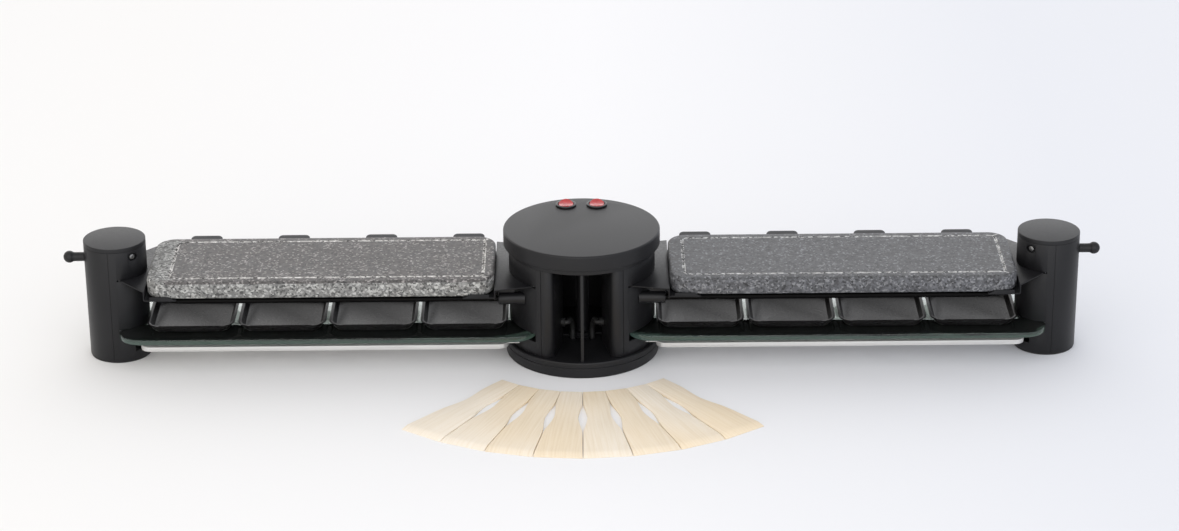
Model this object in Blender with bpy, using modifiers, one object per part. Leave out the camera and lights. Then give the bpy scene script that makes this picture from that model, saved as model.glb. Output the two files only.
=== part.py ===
"""Raclette grill: a round switch hub that carries two swivelling wings.

Each wing holds a granite stone, a heater, four pans on a glass shelf, a bright tray and an end post.
Metres, +Z up. The origin lies on the table under the hub, X runs along the wings,
and the pan handles and switches point to +Y.
"""
import math

import bmesh
import bpy
from mathutils import Matrix, Vector

# Shared clearances
FIT = 0.0003
MERGE_DISTANCE = 0.00001
CUT_OVERRUN = 0.004
SUNK = 0.001

# Facets and angles
HUB_STEPS = 40
POST_STEPS = 32
ROUND_STEPS = 16
SMALL_STEPS = 12
PEG_STEPS = 10
CORNER_STEPS = 4
PAN_CORNER_STEPS = 3
GROOVE_CORNER_STEPS = 2
ARC_STEP_DEG = 7.5
TURN_STEP_DEG = 22.5
EDGE_STEP_DEG = 45.0
HANDLE_STEP_DEG = 30.0
SMOOTH_ANGLE = math.radians(32)

# Hub base
BASE_LEDGE = 0.0042
BASE_WALL = 0.0025
BASE_FLOOR = 0.0025
BASE_SPLIT = 0.0113
BASE_CHAMFER = 0.001

# Hub frame: deck, pivot column, front rib and rear wall
DECK_TOP = 0.018
DECK_THICKNESS = 0.0025
DECK_EDGE = 0.0015
COLUMN_RADIUS = 0.007
COLUMN_BORE = 0.005
RIB_THICKNESS = 0.0034
RIB_DEPTH = 0.014
REAR_WALL_GAP = 0.0013
REAR_WALL_THICKNESS = 0.0025
REAR_WALL_HALF_DEG = 38.0
CABLE_SLOT_INNER = 0.0148
CABLE_SLOT_OUTER = 0.0222
CABLE_SLOT_HALF_DEG = 50.0

# Pegs of the base and their bosses
PEG_INSET = 0.0245
PEG_DEGS = (30.0, 150.0, 270.0)
PEG_RADIUS = 0.0025
PEG_HEIGHT = 0.009
BOSS_WALL = 0.0022

# Lid
LID_OVERHANG = 0.0057
HUB_RISE = 0.0085
LID_SKIRT_HEIGHT = 0.0171
COLLAR_OVERHANG = 0.0009
LID_COLLAR_HEIGHT = 0.0065
LID_WALL = 0.0025
LID_EDGE = 0.002

# Switches
SWITCH_SPACING = 0.0344
SWITCH_INSET = 0.0222
BEZEL_RADIUS = 0.0116
BEZEL_RISE = 0.0018
BEZEL_CHAMFER = 0.0006
BARREL_RADIUS = 0.0098
BARREL_DEPTH = 0.016
BARREL_FLOOR = 0.002
ROCKER_RADIUS = 0.0084
ROCKER_CLEARANCE = 0.0006
ROCKER_TIP_HEIGHT = 0.0026
ROCKER_MIDDLE_HEIGHT = 0.0012
ROCKER_SKIRT = 0.0016
ROCKER_KEEL_DEPTH = 0.007
ROCKER_KEEL_HALF = 0.005
ROCKER_AXIS_DROP = 0.0010
ROCKER_PIN_RADIUS = 0.001
ROCKER_REST_DEG = 7.0

# Cord gland in the base
GLAND_Z = 0.0098
GLAND_NECK_RADIUS = 0.0040
GLAND_FLANGE_RADIUS = 0.0048
GLAND_FLANGE = 0.0022
GLAND_BORE = 0.0028

# Wing housing round the hub
HOUSING_RADIUS = 0.0803
HOUSING_WALL = 0.0025
HOUSING_REAR_DEG = 88.5
HOUSING_SEAM_DEG = -56.0
COVER_BEND_DEG = -63.0
COVER_CORNER_DEG = -66.8
COVER_RETURN_DEPTH = 0.00863
COVER_SLOT_GAP = 0.01002
COVER_OUTER_DEG = -65.08
COVER_INNER_DEG = -48.15
COVER_BEND_STEPS = 5
ARM_THICKNESS = 0.0015
ARM_HALF_WIDTH = 0.010
ARM_RING_RADIUS = 0.013
SLOT_END_DEG = 51.49

# Stone
STONE_LENGTH = 0.378
STONE_WIDTH = 0.127
STONE_THICKNESS = 0.0195
STONE_CORNER = 0.021
STONE_EDGE = 0.0035
STONE_EDGE_STEPS = 2
STONE_HUB_GAP = 0.0154
STONE_POST_GAP = 0.0053
GROOVE_INSET = 0.0115
GROOVE_END_INSETS = {"left": (0.024, 0.011), "right": (0.015, 0.0125)}
GROOVE_CORNER = 0.009
GROOVE_WIDTH = 0.0016
GROOVE_DEPTH = 0.0008

# Brackets of black sheet steel
SHEET = 0.0015
FLANGE_DROP = 0.0366
LEDGE_DROP = 0.0103
LEDGE_REACH = 0.034
LIP_HEIGHT = 0.0035
LIP_SLOPE = 0.008
LIP_END_GAP = 0.007
FLANGE_HUB_MARGIN = 0.0043
FLANGE_HUB_FLARE = 0.0055
FLANGE_POST_FLARE = 0.0005
FLANGE_POST_HALF = 0.0305
FLANGE_POST_REACH = 0.004
FLANGE_POST_NECK = 0.006
DROP_GAP = 0.0005

# Heater and sleeves
HEATER_RADIUS = 0.0035
HEATER_DROP = 0.0087
HEATER_INSET = 0.0175
HEATER_BEND = 0.020
HEATER_POST_GAP = 0.017
SLEEVE_RADIUS = 0.007
SLEEVE_REACH = 0.0107

# Glass shelf
GLASS_TOP = 0.040
GLASS_THICKNESS = 0.006
GLASS_INSET = 0.0015
GLASS_CORNER = 0.026
GLASS_POST_REACH = 0.0045
GLASS_EDGE = 0.0006
GLASS_HEADROOM = 0.0032

# Reflector tray
TRAY_TOP = 0.024
TRAY_SHEET = 0.001
TRAY_INSET = 0.018
TRAY_LIP = 0.0053
TRAY_CORNER = 0.011
TRAY_CORNER_STEPS = 3
TRAY_END_GAP = 0.0005
TRAY_POST_REACH = 0.007
TRAY_TONGUE_HALF = 0.027
TRAY_TONGUE_REACH = 0.0160
TRAY_HUB_HALF = 0.040
TRAY_HUB_REACH = 0.0133
TRAY_SLOT_RISE = 0.002
TRAY_SLOT_DROP = 0.012

# End post
POST_RADIUS = 0.034
POST_WALL = 0.0022
POST_HEIGHT = 0.1356
POST_CAP_HEIGHT = 0.0043
POST_CAP_PLATE = 0.0022
POST_CAP_CHAMFER = 0.0008
POST_SEAM_DEG = 84.0
SPIGOT_WALL = 0.0024
SPIGOT_DEPTH = 0.0145
FOOT_HEIGHT = 0.0018
FOOT_INSET = 0.0006
FOOT_SPIGOT = 0.005
POST_RECESS_DROP = 0.0121
POST_RECESS_DEG = 48.0
POST_RECESS_RADIUS = 0.005
KNOB_DROP = 0.0216
KNOB_ROD_RADIUS = 0.005
KNOB_ROD_REACH = 0.012
KNOB_BALL_RADIUS = 0.00665
KNOB_FLANGE_RADIUS = 0.0072
KNOB_FLANGE = 0.002
KNOB_BALL_STEPS = 6

# Pans
PAN_COUNT = 4
PAN_GAP = 0.0037
PAN_DEPTH_MARGIN = 0.031
PAN_HEIGHT = 0.0092
PAN_SHEET = 0.0012
PAN_CORNER = 0.016
PAN_RIM = 0.0035
PAN_SLOPE = 0.0038
PAN_END_GAP = 0.001
TANG_WIDTH = 0.016
TANG_THICKNESS = 0.0015
TANG_LENGTH = 0.034
TANG_ROOT = 0.002
TANG_SINK = 0.0003
HANDLE_START = 0.008
HANDLE_RUN = 0.102
HANDLE_RISE = 0.0247
HANDLE_ROOT_HALF = 0.011
HANDLE_TIP_HALF = 0.0185
HANDLE_THICKNESS = 0.007
HANDLE_CORNER = 0.006
HANDLE_EDGE = 0.0015

# Cables between the heaters and the base
CABLE_RADIUS = 0.003
CABLE_WALL_INSET = 0.00665
CABLE_WALL_Z = 0.044
CABLE_BUSH_RADIUS = 0.005
CABLE_BUSH_LENGTH = 0.004
CABLE_NECK_RADIUS = 0.0039
CABLE_DESCENT = (0.0110, -0.0147)
CABLE_END_Z = 0.0075
CABLE_BEND_DROP = 0.012

# Spatulas
SPATULA_COUNT = 8
SPATULA_LENGTH = 0.155
SPATULA_WIDTH = 0.0514
SPATULA_THICKNESS = 0.003
SPATULA_BEVEL = 0.009
SPATULA_EDGE = 0.0008
SPATULA_FAN_RADIUS = 0.132
SPATULA_FAN_Y = 0.008
SPATULA_GAP = 0.0003
SPATULA_LENGTH_SHARES = (0.0, 0.12, 0.2, 0.3, 0.4, 0.5, 0.6, 0.7, 0.85, 1.0)
SPATULA_WIDTH_SHARES = (0.46, 0.52, 0.545, 0.505, 0.495, 0.60, 0.75, 0.83, 0.91, 1.0)

# Places that follow from the sizes above
BASE_RADIUS = HOUSING_RADIUS + BASE_LEDGE
BASE_INNER_RADIUS = BASE_RADIUS - BASE_WALL
PEG_CIRCLE = BASE_RADIUS - PEG_INSET
LID_RADIUS = HOUSING_RADIUS + LID_OVERHANG
LID_COLLAR_RADIUS = HOUSING_RADIUS + COLLAR_OVERHANG
LID_TOP = POST_HEIGHT + HUB_RISE
SWITCH_Y = LID_RADIUS - SWITCH_INSET
LID_SKIRT_BOTTOM = LID_TOP - LID_SKIRT_HEIGHT
LID_BOTTOM = LID_SKIRT_BOTTOM - LID_COLLAR_HEIGHT
LID_INSIDE = LID_TOP - LID_WALL
HOUSING_BOTTOM = DECK_TOP + FIT
HOUSING_TOP = LID_BOTTOM - FIT
HOUSING_INNER_RADIUS = HOUSING_RADIUS - HOUSING_WALL
REAR_WALL_RADIUS = HOUSING_INNER_RADIUS - REAR_WALL_GAP
SLOT_END_X = HOUSING_RADIUS * math.cos(math.radians(SLOT_END_DEG))
SLOT_END_HALF = HOUSING_RADIUS * math.sin(math.radians(SLOT_END_DEG))
STONE_INNER_X = HOUSING_RADIUS + STONE_HUB_GAP
STONE_OUTER_X = STONE_INNER_X + STONE_LENGTH
STONE_HALF = STONE_WIDTH / 2
POST_X = STONE_OUTER_X + STONE_POST_GAP + POST_RADIUS
POST_INNER_RADIUS = POST_RADIUS - POST_WALL
POST_RECESS_Z = POST_HEIGHT - POST_RECESS_DROP
KNOB_Z = POST_HEIGHT - KNOB_DROP
POST_SHELL_BOTTOM = FOOT_HEIGHT + FIT
POST_SHELL_TOP = POST_HEIGHT - POST_CAP_HEIGHT - FIT
SPIGOT_RADIUS = POST_INNER_RADIUS - FIT
FLANGE_TOP = POST_HEIGHT - FLANGE_DROP
FLANGE_HUB_HALF = SLOT_END_HALF - FLANGE_HUB_MARGIN
FLANGE_HUB_TIP_HALF = STONE_HALF + FLANGE_HUB_FLARE
FLANGE_POST_TIP_HALF = STONE_HALF + FLANGE_POST_FLARE
LEDGE_TOP = FLANGE_TOP - LEDGE_DROP
STONE_BOTTOM = LEDGE_TOP + FIT
HEATER_Z = LEDGE_TOP - HEATER_DROP
HEATER_HALF = STONE_HALF - HEATER_INSET
SLEEVE_START = math.sqrt(HOUSING_RADIUS ** 2 - (HEATER_HALF + SLEEVE_RADIUS) ** 2) - SUNK
SLEEVE_END = HOUSING_RADIUS + SLEEVE_REACH
GLASS_HALF = STONE_HALF - GLASS_INSET
TRAY_HALF = STONE_HALF - TRAY_INSET
TRAY_HUB_X = HOUSING_RADIUS - TRAY_HUB_REACH
LIP_INNER = STONE_HALF + FIT
LIP_OUTER = LIP_INNER + SHEET
ROCKER_AXIS_Z = LID_TOP + FIT + BEZEL_RISE - ROCKER_AXIS_DROP
PAN_BASE_Z = GLASS_TOP + FIT
PAN_ROW_START = HOUSING_RADIUS + PAN_END_GAP
PAN_ROW_END = POST_X - POST_RADIUS - PAN_END_GAP
PAN_PITCH = (PAN_ROW_END - PAN_ROW_START + PAN_GAP) / PAN_COUNT
PAN_WIDTH = PAN_PITCH - PAN_GAP
PAN_DEPTH = STONE_WIDTH - PAN_DEPTH_MARGIN
HANDLE_ANGLE = math.atan2(HANDLE_RISE, HANDLE_RUN)
HANDLE_LENGTH = math.hypot(HANDLE_RISE, HANDLE_RUN)

SIDES = {"left": -1, "right": 1}


def new_collection(name):
    """Returns a new collection linked to the scene."""
    collection = bpy.data.collections.new(name)
    bpy.context.scene.collection.children.link(collection)
    return collection


def clear_scene():
    """Removes every object and collection of the open scene."""
    for item in list(bpy.data.objects):
        bpy.data.objects.remove(item, do_unlink=True)
    for item in list(bpy.data.collections):
        bpy.data.collections.remove(item)


clear_scene()
PARTS = new_collection("raclette_grill")
CUTTERS = new_collection("raclette_grill_cutters")


def material(name, colour, roughness, metallic=0.0, transmission=0.0):
    """Returns a Principled material made once for each name."""
    made = bpy.data.materials.get(name)
    if made:
        return made
    made = bpy.data.materials.new(name)
    made.use_nodes = True
    shader = made.node_tree.nodes["Principled BSDF"]
    shader.inputs["Base Color"].default_value = (*colour, 1.0)
    shader.inputs["Roughness"].default_value = roughness
    shader.inputs["Metallic"].default_value = metallic
    shader.inputs["Transmission Weight"].default_value = transmission
    return made


FINISHES = {
    "plastic": lambda: material("satin_black_plastic", (0.022, 0.022, 0.024), 0.42),
    "steel": lambda: material("black_painted_steel", (0.016, 0.016, 0.017), 0.50),
    "rubber": lambda: material("black_rubber", (0.012, 0.012, 0.012), 0.85),
    "granite": lambda: material("honed_granite", (0.10, 0.10, 0.10), 0.55),
    "glass": lambda: material("clear_glass", (0.72, 0.85, 0.80), 0.03, 0.0, 1.0),
    "aluminium": lambda: material("bright_aluminium", (0.80, 0.80, 0.79), 0.22, 1.0),
    "heater": lambda: material("heater_steel", (0.20, 0.19, 0.18), 0.45, 1.0),
    "pan": lambda: material("non_stick_coating", (0.018, 0.018, 0.019), 0.30),
    "handle": lambda: material("black_handle_plastic", (0.018, 0.018, 0.018), 0.48),
    "rocker": lambda: material("red_clear_plastic", (0.55, 0.01, 0.015), 0.15),
    "cable": lambda: material("grey_cable_sheath", (0.10, 0.10, 0.10), 0.55),
    "wood": lambda: material("pale_beech", (0.72, 0.56, 0.38), 0.60),
}


def add_object(name, mesh, finish=None):
    """Adds a mesh to the part's collection under a name."""
    item = bpy.data.objects.new(name, mesh)
    mesh.name = name
    PARTS.objects.link(item)
    if finish:
        mesh.materials.clear()
        mesh.materials.append(FINISHES[finish]())
    return item


def evaluated_mesh(item):
    """Returns a new mesh of an object with its modifiers applied."""
    bpy.context.view_layer.update()
    depsgraph = bpy.context.evaluated_depsgraph_get()
    return bpy.data.meshes.new_from_object(item.evaluated_get(depsgraph), depsgraph=depsgraph)


def welded(mesh):
    """Merges the doubled vertices of a mesh."""
    work = bmesh.new()
    work.from_mesh(mesh)
    bmesh.ops.remove_doubles(work, verts=work.verts, dist=MERGE_DISTANCE)
    work.to_mesh(mesh)
    work.free()
    return mesh


def smooth(item):
    """Shades a round piece smooth, with sharp edges past a set angle."""
    item.data.shade_smooth()
    item.data.set_sharp_from_angle(angle=SMOOTH_ANGLE)
    return item


def curve_to_solid(guide, name, finish):
    """Turns a curve object into a mesh object in the same place."""
    mesh = welded(evaluated_mesh(guide))
    place = guide.matrix_world.copy()
    data = guide.data
    bpy.data.objects.remove(guide, do_unlink=True)
    bpy.data.curves.remove(data)
    item = add_object(name, mesh, finish)
    item.matrix_world = place
    return smooth(item)


def prism(name, outlines, low, high, finish=None, across="Z"):
    """Extrudes flat outlines from low to high, along Z, or along Y from an (x, z) outline."""
    data = bpy.data.curves.new(name, "CURVE")
    data.dimensions = "2D"
    data.fill_mode = "BOTH"
    data.extrude = (high - low) / 2
    for outline in outlines:
        spline = data.splines.new("POLY")
        spline.points.add(len(outline) - 1)
        spline.use_cyclic_u = True
        for point, (x, y) in zip(spline.points, outline):
            point.co = (x, y, 0, 1)
    guide = bpy.data.objects.new(name + "_outline", data)
    PARTS.objects.link(guide)
    middle = (low + high) / 2
    if across == "Y":
        guide.rotation_euler.x = math.pi / 2
        guide.location.y = middle
    elif across == "X":
        guide.rotation_euler = (math.pi / 2, 0, math.pi / 2)
        guide.location.x = middle
    else:
        guide.location.z = middle
    return curve_to_solid(guide, name, finish)


def tube(name, points, radius, finish=None, resolution=2):
    """Makes a round tube along a list of points."""
    data = bpy.data.curves.new(name, "CURVE")
    data.dimensions = "3D"
    data.bevel_depth = radius
    data.bevel_resolution = resolution
    data.use_fill_caps = True
    spline = data.splines.new("POLY")
    spline.points.add(len(points) - 1)
    for point, place in zip(spline.points, points):
        point.co = (*place, 1)
    guide = bpy.data.objects.new(name + "_route", data)
    PARTS.objects.link(guide)
    return curve_to_solid(guide, name, finish)


def turned(name, profile, steps, finish=None, closed=False):
    """Spins a profile of (radius, height) points about Z; its outer side runs top to bottom."""
    count = len(profile)
    edges = [(index, index + 1) for index in range(count - 1)]
    if closed:
        edges.append((count - 1, 0))
    mesh = bpy.data.meshes.new(name)
    mesh.from_pydata([(radius, 0, height) for radius, height in profile], edges, [])
    item = add_object(name, mesh, finish)
    screw = item.modifiers.new("spin", "SCREW")
    screw.steps = steps
    screw.render_steps = steps
    screw.use_merge_vertices = True
    screw.merge_threshold = MERGE_DISTANCE
    screw.use_smooth_shade = True
    weld = item.modifiers.new("weld", "WELD")
    weld.merge_threshold = MERGE_DISTANCE
    return settle(item)


def settle(item):
    """Applies an object's modifiers to its mesh."""
    materials = list(item.data.materials)
    mesh = evaluated_mesh(item)
    old = item.data
    item.modifiers.clear()
    item.data = mesh
    bpy.data.meshes.remove(old)
    mesh.name = item.name
    mesh.materials.clear()
    for entry in materials:
        mesh.materials.append(entry)
    return item


def box(name, low, high, finish=None):
    """Makes a box between two corners."""
    mesh = bpy.data.meshes.new(name)
    work = bmesh.new()
    size = Vector(high) - Vector(low)
    middle = (Vector(high) + Vector(low)) / 2
    place = Matrix.Translation(middle) @ Matrix.Diagonal((*size, 1))
    bmesh.ops.create_cube(work, size=1, matrix=place)
    work.to_mesh(mesh)
    work.free()
    return add_object(name, mesh, finish)


def cylinder(name, radius, start, end, steps=SMALL_STEPS, finish=None):
    """Makes a capped cylinder between two points."""
    start = Vector(start)
    axis = Vector(end) - start
    mesh = bpy.data.meshes.new(name)
    work = bmesh.new()
    turn = axis.to_track_quat("Z", "Y").to_matrix().to_4x4()
    place = Matrix.Translation(start + axis / 2) @ turn
    bmesh.ops.create_cone(work, cap_ends=True, segments=steps, radius1=radius, radius2=radius,
                          depth=axis.length, matrix=place)
    work.to_mesh(mesh)
    work.free()
    return smooth(add_object(name, mesh, finish))


def boolean(target, tool, operation):
    """Adds a Boolean modifier to the target and puts the tool with the cutters."""
    step = target.modifiers.new(operation.lower() + "_" + tool.name, "BOOLEAN")
    step.operation = operation
    step.solver = "EXACT"
    step.object = tool
    PARTS.objects.unlink(tool)
    CUTTERS.objects.link(tool)
    tool.hide_render = True
    tool.display_type = "WIRE"


def cut(target, tool):
    """Takes the tool's shape out of the target."""
    boolean(target, tool, "DIFFERENCE")


def join(target, tool):
    """Unites the tool's shape with the target."""
    boolean(target, tool, "UNION")


def keep_inside(target, tool):
    """Keeps only the part of the target that lies in the tool."""
    boolean(target, tool, "INTERSECT")


def bevel(item, width, steps=1, angle_deg=40.0):
    """Rounds the sharp edges of an object."""
    modifier = item.modifiers.new("edges", "BEVEL")
    modifier.width = width
    modifier.segments = steps
    modifier.limit_method = "ANGLE"
    modifier.angle_limit = math.radians(angle_deg)
    return item


def arc(centre, radius, start_deg, end_deg, step_deg=ARC_STEP_DEG):
    """Returns points along an arc, both ends included."""
    count = max(1, round(abs(end_deg - start_deg) / step_deg))
    points = []
    for index in range(count + 1):
        angle = math.radians(start_deg + (end_deg - start_deg) * index / count)
        points.append((centre[0] + radius * math.cos(angle), centre[1] + radius * math.sin(angle)))
    return points


def circle(centre, radius, steps):
    """Returns the points of a full circle."""
    return arc(centre, radius, 0.0, 360.0, 360.0 / steps)[:-1]


def rounded_rectangle(low, high, corner, steps=CORNER_STEPS):
    """Returns a rectangle's outline with round corners."""
    step_deg = 90.0 / steps
    points = arc((high[0] - corner, high[1] - corner), corner, 0.0, 90.0, step_deg)
    points += arc((low[0] + corner, high[1] - corner), corner, 90.0, 180.0, step_deg)
    points += arc((low[0] + corner, low[1] + corner), corner, 180.0, 270.0, step_deg)
    points += arc((high[0] - corner, low[1] + corner), corner, 270.0, 360.0, step_deg)
    return points


def sided(points, side):
    """Mirrors an outline of the right wing to the given side."""
    return [(side * x, y) for x, y in points]


def mirrored_in_y(points):
    """Closes an outline given on +Y by its mirror image on -Y."""
    return points + [(x, -y) for x, y in reversed(points)]


def thickened(path, thickness):
    """Closes an open path with its copy set off to the right by a wall."""
    offset = []
    for index, point in enumerate(path):
        before = Vector(path[max(index - 1, 0)])
        after = Vector(path[min(index + 1, len(path) - 1)])
        along = (after - before).normalized()
        offset.append((point[0] + along.y * thickness, point[1] - along.x * thickness))
    return path + offset[::-1]


def on_axis(item, pivot):
    """Parents a piece to an empty and keeps it in place."""
    bpy.context.view_layer.update()
    item.parent = pivot
    item.matrix_parent_inverse = pivot.matrix_world.inverted()
    return item


def pivot_empty(name, place=(0, 0, 0)):
    """Makes an empty on a joint's axis."""
    empty = bpy.data.objects.new(name, None)
    empty.location = place
    PARTS.objects.link(empty)
    bpy.context.view_layer.update()
    return empty


def span(low, high, side):
    """Returns a box's two X values in rising order on the given side."""
    return sorted((side * low, side * high))


def side_box(name, side, low, high):
    """Makes a cutter box given for the right wing, on either side."""
    low_x, high_x = span(low[0], high[0], side)
    return box(name, (low_x, low[1], low[2]), (high_x, high[1], high[2]))


def polar(radius, degrees, height):
    """Returns the point at a radius and an angle about the hub axis."""
    angle = math.radians(degrees)
    return (radius * math.cos(angle), radius * math.sin(angle), height)


def peg_places():
    """Returns the places of the base pegs on their circle."""
    return [polar(PEG_CIRCLE, degrees, 0) for degrees in PEG_DEGS]


def gland_hole(name):
    """Makes the cutter for the cord gland's hole."""
    return cylinder(name, GLAND_NECK_RADIUS + FIT, (0, BASE_INNER_RADIUS - CUT_OVERRUN, GLAND_Z),
                    (0, BASE_RADIUS + CUT_OVERRUN, GLAND_Z), SMALL_STEPS)


def make_base_tub():
    """Lower half of the base: flat floor, skirt and three pegs."""
    profile = [
        (0, BASE_FLOOR),
        (BASE_INNER_RADIUS, BASE_FLOOR),
        (BASE_INNER_RADIUS, BASE_SPLIT),
        (BASE_RADIUS, BASE_SPLIT),
        (BASE_RADIUS, BASE_CHAMFER),
        (BASE_RADIUS - BASE_CHAMFER, 0),
        (0, 0),
    ]
    tub = turned("base_tub", profile, HUB_STEPS, "plastic")
    for index, (x, y, _) in enumerate(peg_places()):
        end = (x, y, BASE_FLOOR + PEG_HEIGHT)
        join(tub, cylinder(f"peg_{index}", PEG_RADIUS, (x, y, BASE_FLOOR - SUNK), end, PEG_STEPS))
    cut(tub, gland_hole("gland_hole_in_tub"))
    return tub


def make_hub_frame():
    """Deck, hollow pivot column, front rib and rear wall, one moulding."""
    deck_underside = DECK_TOP - DECK_THICKNESS
    profile = [
        (COLUMN_RADIUS, LID_INSIDE - FIT),
        (COLUMN_RADIUS, DECK_TOP),
        (BASE_RADIUS - DECK_EDGE, DECK_TOP),
        (BASE_RADIUS, DECK_TOP - DECK_EDGE),
        (BASE_RADIUS, BASE_SPLIT + FIT),
        (BASE_INNER_RADIUS, BASE_SPLIT + FIT),
        (BASE_INNER_RADIUS, deck_underside),
        (COLUMN_BORE, deck_underside),
        (COLUMN_BORE, LID_INSIDE - FIT),
    ]
    frame = turned("hub_frame", profile, HUB_STEPS, "plastic", closed=True)
    rib_low = (-RIB_THICKNESS / 2, -HOUSING_RADIUS, DECK_TOP - SUNK)
    rib_high = (RIB_THICKNESS / 2, RIB_DEPTH - HOUSING_RADIUS, HOUSING_TOP)
    join(frame, box("front_rib", rib_low, rib_high))
    start, end = 90.0 - REAR_WALL_HALF_DEG, 90.0 + REAR_WALL_HALF_DEG
    wall = arc((0, 0), REAR_WALL_RADIUS, start, end)
    wall += arc((0, 0), REAR_WALL_RADIUS - REAR_WALL_THICKNESS, end, start)
    join(frame, prism("rear_wall", [wall], DECK_TOP - SUNK, HOUSING_TOP))
    boss_bottom = BASE_FLOOR + FIT
    bore = PEG_RADIUS + FIT
    for index, (x, y, _) in enumerate(peg_places()):
        start, end = (x, y, boss_bottom), (x, y, deck_underside + SUNK)
        join(frame, cylinder(f"peg_boss_{index}", bore + BOSS_WALL, start, end, SMALL_STEPS))
    for index, (x, y, _) in enumerate(peg_places()):
        end = (x, y, deck_underside)
        cut(frame, cylinder(f"boss_bore_{index}", bore, (x, y, 0), end, SMALL_STEPS))
    start, end = -90.0 - CABLE_SLOT_HALF_DEG, -90.0 + CABLE_SLOT_HALF_DEG
    slot = arc((0, 0), CABLE_SLOT_OUTER, start, end, 2 * ARC_STEP_DEG)
    slot += arc((0, 0), CABLE_SLOT_INNER, end, start, 2 * ARC_STEP_DEG)
    cut(frame, prism("cable_slot", [slot], deck_underside - CUT_OVERRUN, DECK_TOP + CUT_OVERRUN))
    cut(frame, gland_hole("gland_hole_in_deck"))
    return frame


def make_lid():
    """Round lid with a rounded top edge and a narrower collar below."""
    inner = LID_COLLAR_RADIUS - LID_WALL
    step_top = LID_SKIRT_BOTTOM + LID_WALL
    edge = arc((LID_RADIUS - LID_EDGE, LID_TOP - LID_EDGE), LID_EDGE, 90.0, 0.0, EDGE_STEP_DEG)
    profile = [(0, LID_TOP)] + edge + [
        (LID_RADIUS, LID_SKIRT_BOTTOM),
        (LID_COLLAR_RADIUS, LID_SKIRT_BOTTOM),
        (LID_COLLAR_RADIUS, LID_BOTTOM),
        (inner, LID_BOTTOM),
        (inner, step_top),
        (LID_RADIUS - LID_WALL, step_top),
        (LID_RADIUS - LID_WALL, LID_INSIDE),
        (0, LID_INSIDE),
    ]
    lid = turned("lid", profile, HUB_STEPS, "plastic")
    for label, side in SIDES.items():
        x = side * SWITCH_SPACING / 2
        low = (x, SWITCH_Y, LID_INSIDE - CUT_OVERRUN)
        high = (x, SWITCH_Y, LID_TOP + CUT_OVERRUN)
        cut(lid, cylinder(f"switch_hole_{label}", BARREL_RADIUS + FIT, low, high, ROUND_STEPS))
    return lid


def make_switch_bezel(label, side):
    """Round bezel with the closed barrel that holds a rocker."""
    bore = ROCKER_RADIUS + ROCKER_CLEARANCE
    seat = LID_TOP + FIT
    top = seat + BEZEL_RISE
    bottom = seat - BARREL_DEPTH
    profile = [
        (0, bottom + BARREL_FLOOR),
        (bore, bottom + BARREL_FLOOR),
        (bore, top),
        (BEZEL_RADIUS - BEZEL_CHAMFER, top),
        (BEZEL_RADIUS, top - BEZEL_CHAMFER),
        (BEZEL_RADIUS, seat),
        (BARREL_RADIUS, seat),
        (BARREL_RADIUS, bottom),
        (0, bottom),
    ]
    bezel = turned(f"switch_bezel_{label}", profile, ROUND_STEPS, "plastic")
    reach = BARREL_RADIUS + CUT_OVERRUN
    start, end = (-reach, 0, ROCKER_AXIS_Z), (reach, 0, ROCKER_AXIS_Z)
    cut(bezel, cylinder(f"pin_hole_{label}", ROCKER_PIN_RADIUS + FIT, start, end, PEG_STEPS))
    bezel = settle(bezel)
    bezel.location = (side * SWITCH_SPACING / 2, SWITCH_Y, 0)
    return bezel


def make_rocker(label, side):
    """Round rocker on two pins, tipped to its off side at rest."""
    name = f"rocker_{label}"
    profile = [
        (-ROCKER_RADIUS, ROCKER_TIP_HEIGHT),
        (-ROCKER_RADIUS, -ROCKER_SKIRT),
        (-ROCKER_KEEL_HALF, -ROCKER_KEEL_DEPTH),
        (ROCKER_KEEL_HALF, -ROCKER_KEEL_DEPTH),
        (ROCKER_RADIUS, -ROCKER_SKIRT),
        (ROCKER_RADIUS, ROCKER_TIP_HEIGHT),
        (0, ROCKER_MIDDLE_HEIGHT),
    ]
    rocker = prism(name, [profile], -BARREL_RADIUS, BARREL_RADIUS, "rocker", across="X")
    low, high = (0, 0, -ROCKER_KEEL_DEPTH - CUT_OVERRUN), (0, 0, ROCKER_TIP_HEIGHT + CUT_OVERRUN)
    keep_inside(rocker, cylinder(f"{name}_round", ROCKER_RADIUS, low, high, ROUND_STEPS))
    pin = BARREL_RADIUS - FIT
    join(rocker, cylinder(f"{name}_pins", ROCKER_PIN_RADIUS, (-pin, 0, 0), (pin, 0, 0), PEG_STEPS))
    rocker = settle(rocker)
    rocker.data.transform(rocker.matrix_world)
    rocker.rotation_euler = (math.radians(ROCKER_REST_DEG), 0, 0)
    rocker.location = (side * SWITCH_SPACING / 2, SWITCH_Y, ROCKER_AXIS_Z)
    return rocker


def make_cord_gland():
    """Bush in the back of the base where the cord would come in."""
    outer_face = BASE_RADIUS + FIT
    inner_face = BASE_INNER_RADIUS - 2 * FIT
    profile = [
        (GLAND_FLANGE_RADIUS, outer_face + GLAND_FLANGE),
        (GLAND_FLANGE_RADIUS, outer_face),
        (GLAND_NECK_RADIUS, outer_face),
        (GLAND_NECK_RADIUS, inner_face - GLAND_FLANGE),
        (GLAND_BORE, inner_face - GLAND_FLANGE),
        (GLAND_BORE, outer_face + GLAND_FLANGE),
    ]
    gland = turned("cord_gland", profile, SMALL_STEPS, "rubber", closed=True)
    gland.rotation_euler = (-math.pi / 2, 0, 0)
    gland.location = (0, 0, GLAND_Z)
    return smooth(gland)


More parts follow.
